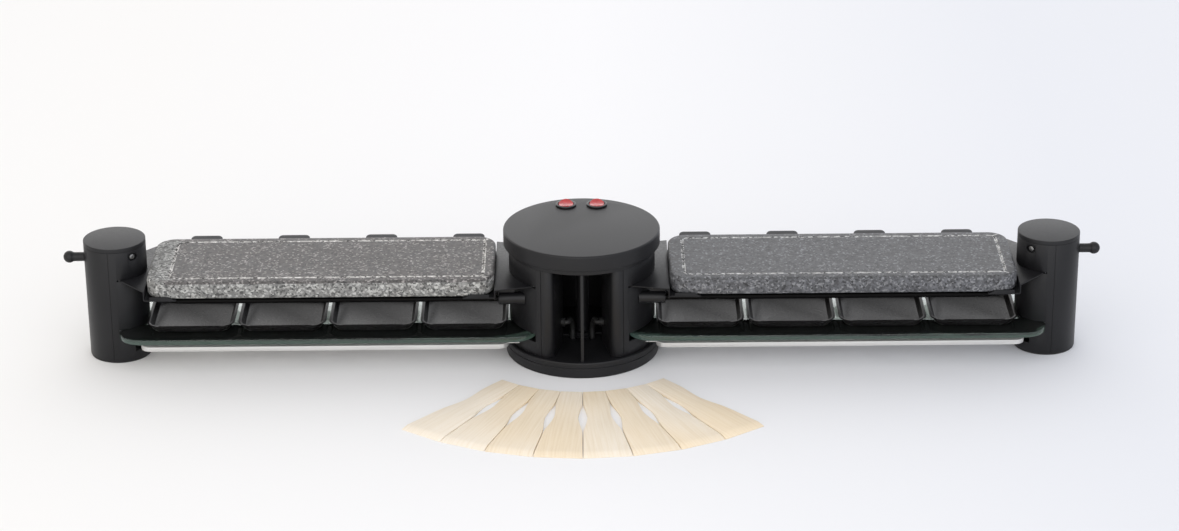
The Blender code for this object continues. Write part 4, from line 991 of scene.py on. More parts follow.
@dataclass
class Hub:
    """The fixed middle: base tub, frame, lid, cord gland and two switches."""

    base_radius: float = 0.0845
    base_split: float = 0.0113
    deck_low: float = 0.0116
    deck_top: float = 0.018
    wall: float = 0.0025
    chamfer: float = 0.0004
    column_radius: float = 0.007
    column_bore: float = 0.005
    column_top: float = 0.1413
    wall_rise: Station = (0.017, 0.1202)
    rear_radius: float = 0.0765
    rib_half: float = 0.0017
    rib_reach: Station = (-0.0803, -0.0663)
    peg_circle: float = 0.06
    peg_angles: tuple[int, ...] = (30, 150, 270)
    peg_radius: float = 0.0025
    boss_radius: float = 0.005
    boss_bore: float = 0.0028
    gland_bore: float = 0.0043
    gland_height: float = 0.0098
    lid_radius: float = 0.086
    lid_top: float = 0.1441
    lid_skirt: float = 0.127
    lid_bottom: float = 0.1205
    collar_radius: float = 0.0812
    switch_x: float = 0.0172
    switch_y: float = 0.0638
    switch_hole: float = 0.0101
    switch_tip: float = 7.0
    steps: int = 128

    def build(self) -> None:
        """Builds and dresses the hub."""
        self.base_tub()
        self.hub_frame()
        self.lid()
        gland = Workpiece.of_node("gland_bush", "cord_gland").round_edges(0.3 * MM)
        gland.finish("hub", Finishes.rubber, "cord_gland")
        for side in Side:
            self.bezel(side)
            self.rocker(side)

    def peg_places(self) -> list[Station]:
        """Lists the places of the pegs under the deck."""
        turns = [math.radians(angle) for angle in self.peg_angles]
        return [(self.peg_circle * math.cos(turn), self.peg_circle * math.sin(turn)) for turn in turns]

    def gland_hole(self) -> Workpiece:
        """Makes the tool for the cord gland's hole."""
        ends = [(0, y, self.gland_height) for y in (0.078, 0.09)]
        return Workpiece.bar("gland_hole", self.gland_bore, ends[0], ends[1])

    def base_tub(self) -> None:
        """Builds the lower half of the base, with a small radius at its foot."""
        outer, inner, split = self.base_radius, self.base_radius - self.wall, self.base_split
        foot = arc_points((outer - 0.001, 0.001), 0.001, -90, 0, 4)
        stations = [*foot, (outer, split - self.chamfer), (outer - self.chamfer, split), (inner, split),
                    (inner, self.wall)]
        tub = turned("base_shell", stations, self.steps)
        for x, y in self.peg_places():
            tub.fuse(Workpiece.bar("peg", self.peg_radius, (x, y, 0.002), (x, y, 0.0115), 24))
        tub.carve(self.gland_hole()).finish("hub", Finishes.plastic, "base_tub")

    def hub_frame(self) -> None:
        """Builds the deck with its hollow column, front rib and rear wall."""
        outer, inner, top = self.base_radius, self.base_radius - self.wall, self.deck_top
        under, low = top - self.wall, self.deck_low
        root = arc_points((0.010, top + 0.003), 0.003, 180, 270, 5)
        stations = [(self.column_radius, self.column_top), *root, *top_round(outer, top, 0.0015, 5),
                    (outer, low + self.chamfer), (outer - self.chamfer, low), (inner, low), (inner, under),
                    (self.column_bore, under), (self.column_bore, self.column_top)]
        deck = turned("hub_deck", stations, self.steps, ring=True)
        (front, back), (foot, head) = self.rib_reach, self.wall_rise
        rib = Workpiece.block("rib", (-self.rib_half, front, foot), (self.rib_half, back, head))
        rib.round_edges(0.5 * MM, 3)
        deck.fuse(rib, arc_wall("rear", self.rear_radius, self.wall, (52, 128), self.wall_rise, 40))
        for x, y in self.peg_places():
            boss = Workpiece.bar("boss", self.boss_radius, (x, y, 0.0028), (x, y, under + 0.001), 32)
            deck.fuse(boss.carve(Workpiece.bar("bore", self.boss_bore, (x, y, 0), (x, y, under), 24)))
        slot = arc_wall("slot", 0.0222, 0.0074, (-140, -40), (0.010, 0.022), 32)
        deck.carve(slot, self.gland_hole()).finish("hub", Finishes.plastic, "hub_frame")

    def lid(self) -> None:
        """Builds the round lid: rounded top edge, skirt, and a narrower collar under a shadow step."""
        outer, top, skirt, collar = self.lid_radius, self.lid_top, self.lid_skirt, self.collar_radius
        inner, bottom, wall = collar - self.wall, self.lid_bottom, self.wall
        stations = [*top_round(outer, top, 0.002, 6), (outer, skirt + 0.0005), (outer - 0.0005, skirt),
                    (collar, skirt), (collar, bottom + self.chamfer), (collar - self.chamfer, bottom),
                    (inner, bottom), (inner, skirt + wall), (outer - wall, skirt + wall),
                    (outer - wall, top - wall)]
        lid = turned("hub_lid", stations, self.steps)
        for side in Side:
            x, y = side.value * self.switch_x, self.switch_y
            lid.carve(Workpiece.bar("hole", self.switch_hole, (x, y, 0.135), (x, y, 0.15), 48))
        lid.finish("hub", Finishes.plastic, "lid")

    def bezel(self, side: Side) -> None:
        """Builds a switch's ring with its barrel.

        Args:
            side: The wing that the switch is for.
        """
        lip, barrel, bore, soft = 0.0116, 0.0098, 0.009, 0.0003
        seat, top = self.lid_top + 0.0003, self.lid_top + 0.0021
        stations = [(barrel, seat - 0.016), (barrel, seat), (lip, seat),
                    *reversed(top_round(lip, top, 0.0009, 4)),
                    (bore + soft, top), (bore, top - soft), (bore, seat - 0.014)]
        ring = turned(f"bezel_ring_{side.label}", stations, 64)
        ring.place((side.value * self.switch_x, self.switch_y, 0))
        ring.finish("hub", Finishes.bezel, f"switch_bezel_{side.label}")

    def rocker(self, side: Side) -> None:
        """Builds a round rocker with a hollow finger face, tipped to its off side.

        Args:
            side: The wing that the switch is for.
        """
        radius, tip, middle, rows = 0.0082, 0.0026, 0.0007, 16
        piece = Workpiece.block(
            f"rocker_cap_{side.label}", (-radius, -radius, -0.0016), (radius, radius, tip))
        piece.every(Kind.EDGE)
        bpy.ops.mesh.subdivide(number_cuts=rows - 1)
        for index in range(rows + 1):
            y = radius * (index / (rows / 2) - 1)
            piece.pick(Kind.VERT, lambda v, y=y: v.co.z > tip - NEAR and abs(v.co.y - y) < NEAR)
            piece.move(z=(middle - tip) * (1 - (y / radius) ** 2))
        piece.keep(Workpiece.bar("round", radius, (0, 0, -0.01), (0, 0, 0.01), 64))
        piece.fuse(Workpiece.block("keel", (-0.004, -0.005, -0.007), (0.004, 0.005, -0.001)))
        piece.round_edges(0.25 * MM, 2, 50)
        piece.place((side.value * self.switch_x, self.switch_y, 0.1452),
                    (math.radians(self.switch_tip), 0, 0))
        piece.finish(f"switch_{side.label}", Finishes.rocker, f"rocker_{side.label}")


@dataclass
class Post:
    """The end post of one wing: two shells, cap, foot, knob and two screws in recesses."""

    side: Side
    centre_x: float = 0.513
    radius: float = 0.034
    wall: float = 0.0022
    height: float = 0.1356
    cap_height: float = 0.0043
    shell_low: float = 0.0021
    seam: float = 84.0
    seam_gap: float = 0.25
    fit: float = 0.0003
    spigot_wall: float = 0.0024
    spigot_low: float = 0.1168
    foot_inset: float = 0.0006
    foot_chamfer: float = 0.0004
    foot_top: float = 0.0018
    foot_lip: float = 0.0068
    screw_height: float = 0.1235
    screw_angle: float = 48.0
    recess_radius: float = 0.0042
    recess_stretch: float = 1.45
    rod_height: float = 0.114
    steps: int = 96

    @property
    def spigot(self) -> float:
        """The radius of the rings that cap and foot push into the shells."""
        return self.radius - self.wall - self.fit

    def build(self) -> None:
        """Builds and dresses the post."""
        body, label = self.side.body, self.side.label
        inner, outer = self.shells()
        cap, foot = self.cap(), self.foot()
        for piece in (inner, outer, cap, foot):
            piece.place((self.side.value * self.centre_x, 0, 0))
        inner.finish(body, Finishes.plastic, f"post_inner_shell_{label}")
        outer.finish(body, Finishes.plastic, f"post_outer_shell_{label}")
        cap.finish(body, Finishes.plastic, f"post_cap_{label}")
        foot.finish(body, Finishes.rubber, f"post_foot_{label}")
        self.knob().finish(body, Finishes.plastic, f"post_knob_{label}")
        self.screws()

    def cap(self) -> Workpiece:
        """Builds the cap with its spigot, notched for the knob's flange.

        Returns:
            The cap, about the post's own axis.
        """
        top, low = self.height, self.height - self.cap_height
        inside = self.spigot - self.spigot_wall
        cap = turned(f"cap_{self.side.label}", [
            *top_round(self.radius, top, 0.0008, 4), (self.radius, low), (self.spigot, low),
            (self.spigot, self.spigot_low), (inside, self.spigot_low), (inside, top - self.wall)], self.steps)
        near, far = self.side.span(0.025, 0.04)
        return cap.carve(Workpiece.block("notch", (near, -0.0078, 0.11), (far, 0.0078, 0.1218)))

    def foot(self) -> Workpiece:
        """Builds the rubber foot.

        Returns:
            The foot, about the post's own axis.
        """
        outer, inside = self.radius - self.foot_inset, self.spigot - self.spigot_wall
        top, lip = self.foot_top, self.foot_lip
        return turned(f"foot_{self.side.label}", [
            (outer - self.foot_chamfer, 0), (outer, self.foot_chamfer), (outer, top), (self.spigot, top),
            (self.spigot, lip), (inside, lip), (inside, top)], self.steps)

    def slot(self, name: str, end: float, half: float, heights: Station) -> Workpiece:
        """Makes the tool of one slot, open towards the hub.

        Args:
            name: The tool's name.
            end: How far from the hub's middle the slot ends.
            half: Half its width.
            heights: Its lower and upper side.

        Returns:
            The tool.
        """
        near, far = self.side.span(end - self.centre_x, -0.045)
        return Workpiece.block(name, (near, -half, heights[0]), (far, half, heights[1]))

    def shells(self) -> tuple[Workpiece, Workpiece]:
        """Builds both shells.

        Returns:
            The inner and the outer shell, about the post's own axis.
        """
        away = 0.0 if self.side is Side.RIGHT else 180.0
        near, far = away + self.seam, away + 360 - self.seam
        heights = (self.shell_low, self.height - self.cap_height - self.fit)
        outer = arc_wall(f"shell_outer_{self.side.label}", self.radius, self.wall,
                         (away - self.seam + self.seam_gap, near - self.seam_gap), heights, 48)
        inner = arc_wall(f"shell_inner_{self.side.label}", self.radius, self.wall,
                         (near + self.seam_gap, far - self.seam_gap), heights, 52)
        inner.carve(self.slot("flange_slot", 0.508, self.radius, (0.0972, 0.0993)),
                    self.slot("glass_slot", 0.5088, self.radius, (0.0337, 0.0403)),
                    self.slot("tray_slot", 0.4973, 0.0276, (0.012, 0.026)))
        for direction in self.recesses():
            start = direction * (self.radius - 0.008) + Vector((0, 0, self.screw_height))
            recess = Workpiece.bar("recess", self.recess_radius, (0, 0, 0), (0, 0, 0.02), 40)
            recess.obj.scale = (self.recess_stretch, 1.0, 1.0)
            recess.settle().place(tuple(start), tuple(direction.to_track_quat("Z", "Y").to_euler()))
            inner.carve(recess)
        ends = [(self.side.value * x, 0, self.rod_height) for x in (0.025, 0.045)]
        outer.carve(Workpiece.bar("rod_hole", 0.0053, ends[0], ends[1], 40))
        return inner.round_edges(0.35 * MM, 2, 50), outer.round_edges(0.35 * MM, 2, 50)

    def recesses(self) -> list[Vector]:
        """Lists the level directions of the two screw recesses, from the post's axis."""
        turns = (math.radians(self.screw_angle), math.radians(-self.screw_angle))
        return [Vector((-self.side.value * math.cos(turn), math.sin(turn), 0)) for turn in turns]

    def knob(self) -> Workpiece:
        """Builds the ball knob with its rod and inner flange.

        Returns:
            The knob, in its place.
        """
        ball, rod, flange = 0.00665, 0.005, 0.0306
        centre = self.radius + 0.012 + math.sqrt(ball ** 2 - rod ** 2)
        first = math.degrees(math.asin(rod / ball))
        stations = [*arc_points((0, centre), ball, 88, first - 90 + 2, 16), (rod, centre - 0.0062),
                    (rod, flange + 0.0042), (rod + 0.0002, flange + 0.0036), (rod, flange + 0.003),
                    (rod, flange), (0.0072, flange), (0.0072, flange - 0.002)]
        knob = turned(f"knob_{self.side.label}", stations, 48)
        return knob.place((self.side.value * self.centre_x, 0, self.rod_height),
                          (0, self.side.value * QUARTER_TURN, 0))

    def screws(self) -> None:
        """Builds pan head screws on the cap's spigot behind the recesses."""
        profile = [(0.0034, 0), (0.0034, 0.0008), (0.0029, 0.0016), (0.0016, 0.0020)]
        for index, direction in enumerate(self.recesses()):
            head = turned(f"screw_{self.side.label}_{index}", profile, 32)
            for turn in (0, QUARTER_TURN):
                cross = Workpiece.block("cross", (-0.0019, -0.0004, 0.0010), (0.0019, 0.0004, 0.003))
                head.carve(cross.place(rotation=(0, 0, turn)))
            seat = direction * self.spigot
            head.place((seat.x + self.side.value * self.centre_x, seat.y, self.screw_height),
                       tuple(direction.to_track_quat("Z", "Y").to_euler()))
            head.finish(self.side.body, Finishes.screw)


@dataclass
class Housing:
    """The half shell of a wing round the hub, with its cover, arms and heater sleeves."""

    side: Side
    radius: float = 0.0803
    wall: float = 0.0025
    low: float = 0.0183
    high: float = 0.1202
    seam: float = -56.0
    seam_gap: float = 0.11
    rear: float = 88.5
    arm_step: float = 0.0018
    arm_thick: float = 0.0015
    arm_half: float = 0.010
    arm_ring: float = 0.013
    arm_bore: float = 0.0073
    heater_y: float = 0.046
    heater_z: float = 0.08
    sleeve_radius: float = 0.007
    sleeve_inner: float = 0.0069
    sleeve_bore: float = 0.0038
    cover_bend: float = 0.008
    return_start: Station = (0.03020, -0.06500)
    return_end: Station = (0.02149, -0.02400)
    cable_inset: float = 0.00665
    cable_height: float = 0.044
    cable_bore: float = 0.0042

    def build(self) -> None:
        """Builds and dresses housing and cover, both drawn for the right wing and mirrored for the left."""
        shell = self.shell()
        if self.side is Side.LEFT:
            shell = shell.flip()
        shell.finish(self.side.body, Finishes.plastic, f"hub_housing_{self.side.label}")
        cover = self.cover()
        if self.side is Side.LEFT:
            cover = cover.flip()
        cover.finish(self.side.body, Finishes.plastic, f"housing_cover_{self.side.label}")

    def shell(self) -> Workpiece:
        """Builds the right wing's half shell with its slots, arms and sleeves.

        Returns:
            The shell.
        """
        shell = arc_wall(f"housing_{self.side.label}", self.radius, self.wall,
                         (self.seam + self.seam_gap, self.rear), (self.low, self.high), 72)
        shell.carve(self.slot("flange", 0.050, 0.0625, (0.0972, 0.0993)),
                    self.slot("glass", 0.050, 0.062, (0.0337, 0.0432)),
                    self.slot("tray", 0.0667, 0.0406, (0.0227, 0.0243)))
        shell.round_edges(0.4 * MM, 2, 50)
        # The right wing's arms lie between the left wing's, so that both turn on the one column
        level = self.arm_step if self.side is Side.RIGHT else 0.0
        for bottom in (self.low + level, self.high - level - self.arm_thick):
            shell.fuse(self.arm(bottom))
        z = self.heater_z
        for y in (-self.heater_y, self.heater_y):
            sleeve = Workpiece.bar("sleeve", self.sleeve_radius, (0.074, y, z), (0.091, y, z), 48)
            sleeve.round_edges(0.8 * MM, 3, 50)
            inside = Workpiece.bar("inside", self.sleeve_inner, (0.062, y, z), (0.08, y, z), 48)
            web = Workpiece.block("web", (0.074, y - 0.001, 0.082), (0.0905, y + 0.001, 0.0968))
            shell.fuse(sleeve, inside, web)
            shell.carve(Workpiece.bar("bore", self.sleeve_bore, (0.06, y, z), (0.096, y, z), 32))
        return shell

    def cover(self) -> Workpiece:
        """Builds the right wing's cover: along the round, softly bent, and back to the cable's bush.

        Returns:
            The cover.
        """
        start, end = Vector(self.return_start), Vector(self.return_end)
        along = (end - start).normalized()
        aside = Vector((along.y, -along.x))
        # The bend's centre lies one bend radius inside both the round and the return's outer face
        base = start + aside * self.cover_bend
        lead = base.dot(along)
        reach = (self.radius - self.cover_bend) ** 2
        centre = base - along * (lead + math.sqrt(lead ** 2 - base.length_squared + reach))
        first = math.radians(self.seam - self.seam_gap)
        bend_start = math.atan2(centre.y, centre.x)
        bend = math.atan2(along.y, along.x) - 2 * math.pi - (bend_start - QUARTER_TURN)
        cover = Workpiece.strip(
            f"cover_{self.side.label}", self.radius, self.wall, (self.low, self.high))
        cover.place(rotation=(0, 0, first)).every()
        for angle, middle, steps in ((bend_start - first, (0, 0, 0), 2), (bend, (*centre, 0), 18)):
            for _ in range(steps):
                cover.extrude().swing(angle / steps, middle)
        rest = along * (end - centre).dot(along)
        cover.extrude(x=rest.x, y=rest.y).weld()
        hole = end - along * self.cable_inset
        ends = [(*(hole + aside * step), self.cable_height) for step in (-0.005, 0.005)]
        cover.carve(Workpiece.bar("cable_hole", self.cable_bore, ends[0], ends[1], 32))
        return cover.round_edges(0.4 * MM, 2, 50)

    def slot(self, name: str, start: float, half: float, heights: Station) -> Workpiece:
        """Makes the tool of one slot towards the wing."""
        return Workpiece.block(name, (start, -half, heights[0]), (0.09, half, heights[1]))

    def arm(self, bottom: float) -> Workpiece:
        """Builds one swivel arm with its ring round the column.

        Args:
            bottom: The height of its underside.

        Returns:
            The arm.
        """
        top = bottom + self.arm_thick
        arm = Workpiece.bar("arm_ring", self.arm_ring, (0, 0, bottom), (0, 0, top), 64)
        arm.fuse(Workpiece.block("arm", (0.008, -self.arm_half, bottom), (0.079, self.arm_half, top)))
        return arm.carve(
            Workpiece.bar("bore", self.arm_bore, (0, 0, bottom - 0.01), (0, 0, bottom + 0.01), 48))


@dataclass
class Stone:
    """A granite stone with rounded edges and a shallow line let into its top."""

    side: Side
    near_end: float = 0.0957
    length: float = 0.378
    half: float = 0.0635
    bottom: float = 0.089
    thick: float = 0.0195
    corner: float = 0.021
    rounding: float = 0.0035
    line_inset: float = 0.0115
    line_from_round: float = 0.0080
    line_width: float = 0.0016
    line_depth: float = 0.0008
    chip: float = 0.0010
    # How far the line stays from the stone's ends at low and at high X
    end_insets: ClassVar[dict[Side, Station]] = {Side.LEFT: (0.024, 0.011), Side.RIGHT: (0.015, 0.0125)}

    @staticmethod
    def is_field(face: bmesh.types.BMFace) -> bool:
        """Tells whether a face is the wide one that is left inside the top."""
        return face.normal.z > 0.99 and face.calc_area() > 0.01

    def build(self) -> None:
        """Builds and dresses the stone."""
        label, half = self.side.label, self.length / 2
        low, high = (-half, -self.half, 0), (half, self.half, self.thick)
        stone = slab(f"granite_{label}", low, high, self.corner, 12)
        stone.pick(Kind.EDGE, lambda e: len(e.link_faces) == 2
                   and lies_level(e.link_faces[0]) != lies_level(e.link_faces[1]))
        stone.bevel(self.rounding, 4)
        stone.pick(Kind.FACE, self.is_field).inset(self.line_from_round - self.chip)
        for sign, inset in zip((-1, 1), self.end_insets[self.side]):
            stone.pick(Kind.VERT, lambda v, sign=sign: v.co.x * sign > 0.1
                       and any(self.is_field(face) for face in v.link_faces))
            stone.move(x=sign * (self.line_inset - inset))
        for width, depth in ((self.chip, 0.0), (0.0005, -self.line_depth), (0.0007, 0.0),
                             (0.0004, self.line_depth), (self.chip, 0.0)):
            stone.pick(Kind.FACE, self.is_field).inset(width, depth)
        stone.only()
        self.face_finishes(stone)
        stone.place((self.side.value * (self.near_end + half), 0, self.bottom))
        stone.finish(f"loose_stone_{label}", Finishes.stones[self.side][0], f"stone_{label}", angle=40.0)

    def face_finishes(self, stone: Workpiece) -> None:
        """Gives the top, the sawn faces and the line with its chipped borders their finishes.

        Args:
            stone: The stone, about its own middle.
        """
        for finish in Finishes.stones[self.side]:
            stone.obj.data.materials.append(finish.material())
        half = self.length / 2
        low, high = self.end_insets[self.side]
        for face in stone.obj.data.polygons:
            x, y, z = face.center
            across = min(x + half - low, half - high - x, self.half - self.line_inset - abs(y))
            chipped = -self.chip < across < self.line_width + self.chip and z > self.thick - 0.001
            coarse = face.normal.z < 0.3 or (self.side is Side.LEFT and x < low - half)
            face.material_index = 2 if chipped else 1 if coarse else 0


@dataclass
class Wing:
    """One wing between its housing and its post."""

    side: Side
    glass_ends: Station = (0.050, 0.5085)
    glass_half: float = 0.062
    glass_rise: Station = (0.034, 0.040)
    glass_corner: float = 0.026
    heater_ends: Station = (0.0600, 0.4567)
    heater_half: float = 0.046
    heater_bend: float = 0.020
    heater_height: float = 0.08
    heater_radius: float = 0.0035
    pan_first: float = 0.1295
    pan_pitch: float = 0.10010
    pan_height: float = 0.0403
    pan_count: int = 4

    def build(self) -> None:
        """Builds and dresses the wing's pieces."""
        body, label = self.side.body, self.side.label
        Housing(self.side).build()
        Post(self.side).build()
        for name in ("inner_bracket", "outer_bracket"):
            bracket = Workpiece.of_node(f"{name}_sheet_{label}", f"{name}_{label}")
            bracket.round_edges(0.35 * MM, 2, 30).finish(body, Finishes.steel, f"{name}_{label}")
        self.glass().finish(body, Finishes.glass, f"glass_shelf_{label}")
        tray = Workpiece.of_node(f"tray_{label}", f"reflector_tray_{label}").round_edges(0.25 * MM, 2, 30)
        tray.finish(body, Finishes.tray, f"reflector_tray_{label}")
        self.heater().finish(body, Finishes.heater, f"heater_{label}")
        cable = Workpiece.of_node(f"lead_{label}", f"cable_{label}")
        cable.finish(body, Finishes.cable, f"cable_{label}", angle=50.0)
        Stone(self.side).build()
        self.pans()

    def glass(self) -> Workpiece:
        """Builds the glass shelf with ground edges.

        Returns:
            The shelf.
        """
        near, far = self.side.span(*self.glass_ends)
        half, (under, over) = self.glass_half, self.glass_rise
        low, high = (near, -half, under), (far, half, over)
        shelf = slab(f"glass_{self.side.label}", low, high, self.glass_corner, 16)
        return shelf.round_edges(0.7 * MM, 2, 50)

    def heater(self) -> Workpiece:
        """Builds the U shaped heater tube along its line.

        Returns:
            The tube.
        """
        fresh()
        near, far = self.heater_ends
        half, bend = self.heater_half, self.heater_bend
        path = [(near, -half), *arc_points((far - bend, bend - half), bend, -90, 0, 12),
                *arc_points((far - bend, half - bend), bend, 0, 90, 12), (near, half)]
        curve = bpy.data.curves.new("heater_line", "CURVE")
        curve.dimensions = "3D"
        curve.bevel_depth = self.heater_radius
        curve.bevel_resolution = 5
        curve.use_fill_caps = True
        spline = curve.splines.new("POLY")
        spline.points.add(len(path) - 1)
        for point, (x, y) in zip(spline.points, path):
            point.co = (self.side.value * x, y, self.heater_height, 1)
        take(bpy.data.objects.new("heater_line", curve))
        bpy.ops.object.convert(target="MESH")
        return Workpiece(f"heater_tube_{self.side.label}").weld()

    def pans(self) -> None:
        """Builds four pans on the glass shelf, each with its handle, as copies of one."""
        masters = (Pan().dish(), Pan().handle())
        for index in range(self.pan_count):
            place = (self.side.value * (self.pan_first + index * self.pan_pitch), 0, self.pan_height)
            tail = f"{self.side.label}_{index + 1}"
            dish = masters[0].copy(f"dish_{tail}").place(place)
            dish.finish(f"loose_pan_{tail}", Finishes.pan, f"pan_{tail}")
            grip = masters[1].copy(f"grip_{tail}").place(place)
            grip.finish(f"loose_pan_{tail}", Finishes.handle, f"pan_handle_{tail}")
        for master in masters:
            master.discard()


@dataclass
class Pan:
    """One pan with the tang for its handle; its origin is under its middle."""

    half_x: float = 0.0482
    half_y: float = 0.048
    height: float = 0.0092
    sheet: float = 0.0012
    corner: float = 0.016
    rim: float = 0.0035
    rim_round: float = 0.0008
    rim_drop: float = 0.0006
    handle_run: float = 0.102
    handle_rise: float = 0.0742 - 0.0495
    grip_half: float = 0.011
    grip_wide: float = 0.0185
    grip_heights: Station = (-0.00425, 0.00275)
    grip_start: float = 0.008
    grip_corner: float = 0.006
    tang_half: float = 0.008
    tang_length: float = 0.034

    def dish(self) -> Workpiece:
        """Builds the pan of coated sheet: pressed down from its rim in stages, then given its thickness.

        Returns:
            The pan with its tang.
        """
        low, high = (-self.half_x, -self.half_y, 0.005), (self.half_x, self.half_y, self.height)
        pan = Workpiece.block("dish", low, high)
        pan.pick(Kind.FACE, lambda f: f.normal.z < 0.9).delete("ONLY_FACE")
        pan.pick(Kind.VERT, lambda v: v.co.z < 0.007).delete("VERT")
        pan.every(Kind.VERT).bevel(self.corner, 8, "VERTICES")
        pan.every().inset(self.rim - self.rim_round)
        pan.pick(Kind.FACE, lambda f: f.calc_area() > 0.004)
        drop = self.height - self.sheet
        size = self.half_x - self.rim + self.rim_round
        for inward, down in ((0.0006, 0.0004), (0.0002, 0.0012), (0.0024, drop - 0.0036), (0.0010, 0.0014),
                             (0.0016, 0.0006)):
            pan.extrude(z=-down).resize((size - inward) / size, (size - inward) / size)
            size -= inward
        pan.pick(Kind.EDGE, lambda e: e.is_boundary).extrude(z=-self.rim_drop)
        pan.modify("SOLIDIFY", thickness=self.sheet, offset=-1.0, use_even_offset=True)
        pan.weld().round_edges(0.35 * MM, 2, 60)
        low, high = (-self.tang_half, -0.002, -0.0015), (self.tang_half, self.tang_length, 0)
        return pan.fuse(self.hang(Workpiece.block("tang", low, high).round_edges(0.3 * MM, 2)))

    def handle(self) -> Workpiece:
        """Builds the flat handle, wider and rounded at its end, with a pocket for the tang.

        Returns:
            The handle.
        """
        length = math.hypot(self.handle_rise, self.handle_run)
        half, (under, over) = self.grip_half, self.grip_heights
        grip = Workpiece.block("grip", (-half, self.grip_start, under), (half, length, over))
        grip.pick(Kind.VERT, lambda v: v.co.y > 0.05).resize(self.grip_wide / self.grip_half, 1.0)
        grip.pick(Kind.EDGE, lambda e: stands_upright(e) and e.verts[0].co.y > 0.05)
        grip.bevel(self.grip_corner, 8)
        grip.round_edges(1.5 * MM, 4, 50)
        grip.carve(Workpiece.block("pocket", (-0.0083, 0.004, -0.0018), (0.0083, 0.0343, 0.0003)))
        return self.hang(grip)

    def hang(self, piece: Workpiece) -> Workpiece:
        """Tilts a piece up and hangs it on the pan's rear rim."""
        tilt = math.atan2(self.handle_rise, self.handle_run)
        return piece.place((0, self.half_y, self.height - 0.0003), (tilt, 0, 0))


@dataclass
class Spatulas:
    """Eight wooden spatulas fanned out on the table."""

    count: int = 8
    length: float = 0.155
    half_width: float = 0.0257
    thickness: float = 0.003
    bevel: float = 0.009
    edge: float = 0.0008
    heel: float = 0.001
    rings: int = 40
    fan_radius: float = 0.132
    fan_y: float = 0.008
    fan_degrees: float = 10.4
    # Shares of the length, and the share of the half width that the outline has there
    along: tuple[float, ...] = (0.0, 0.12, 0.2, 0.3, 0.4, 0.5, 0.6, 0.7, 0.85, 1.0)
    across: tuple[float, ...] = (0.46, 0.52, 0.545, 0.505, 0.495, 0.60, 0.75, 0.83, 0.91, 1.0)

    def build(self) -> None:
        """Builds one spatula and lays out its copies."""
        master = self.blade()
        for index in range(self.count):
            angle = math.radians((index - (self.count - 1) / 2) * self.fan_degrees)
            blade = master.copy(f"blade_{index + 1}")
            self.grain(blade, index)
            start = Vector((math.sin(angle), -math.cos(angle), 0)) * self.fan_radius
            blade.place((start.x, start.y + self.fan_y, 0), (0, 0, angle))
            blade.finish(f"loose_spatula_{index + 1}", Finishes.wood, f"spatula_{index + 1}")
        master.discard()

    def blade(self) -> Workpiece:
        """Builds one spatula, its narrow end at the origin, thinned towards its wide end.

        Returns:
            The spatula.
        """
        share, place = self.across[0], -self.heel
        first = self.half_width * share
        blade = Workpiece.block("blade", (-first, place, 0), (first, 0, self.thickness))
        blade.pick(Kind.FACE, lambda f: f.normal.y < -0.9)
        for along, across in self.outline():
            blade.extrude(y=-along * self.length - place)
            blade.resize(across / share, 1.0, centre=(0, -along * self.length, 0))
            share, place = across, -along * self.length
        blade.pick(Kind.VERT, lambda v: v.co.y < NEAR - self.length and v.co.z > 0.001)
        blade.move(z=self.edge - self.thickness)
        return blade.round_edges(0.35 * MM, 2, 30)

    def outline(self) -> list[Station]:
        """Lists finer shares of length and width, with a stop where the bevel starts.

        Returns:
            The share of the length and of the half width at each ring.
        """
        bevel_start = 1 - self.bevel / self.length
        shares = [index / self.rings for index in range(1, self.rings)]
        shares = [share for share in shares if share < bevel_start]
        return [(share, self.width_at(share)) for share in (*shares, bevel_start, 1.0)]

    def width_at(self, share: float) -> float:
        """Reads the width on a smooth curve through the given ones.

        Args:
            share: The share of the length.

        Returns:
            The share of the half width.
        """
        last = len(self.along) - 1
        index = max(i for i in range(last) if self.along[i] <= share)
        span = self.along[index + 1] - self.along[index]
        way = (share - self.along[index]) / span
        slopes = []
        for i in (index, index + 1):
            low, high = max(i - 1, 0), min(i + 1, last)
            slopes.append((self.across[high] - self.across[low]) / (self.along[high] - self.along[low]))
        here, there = self.across[index], self.across[index + 1]
        eased = here + (there - here) * (way * way * (3 - 2 * way))
        return eased + span * (slopes[0] * way * (1 - way) ** 2 - slopes[1] * way * way * (1 - way))

    def grain(self, blade: Workpiece, index: int) -> None:
        """Writes the spatula's own place into a UV map, set off so that each has its own grain.

        Args:
            blade: The spatula, its narrow end at the origin.
            index: Its number in the fan.
        """
        mesh = blade.obj.data
        layer = mesh.uv_layers.get("grain") or mesh.uv_layers.new(name="grain")
        for loop in mesh.loops:
            place = mesh.vertices[loop.vertex_index].co
            layer.data[loop.index].uv = (place.x + place.z * 0.3 + 0.37 * index, place.y + 0.21 * index)


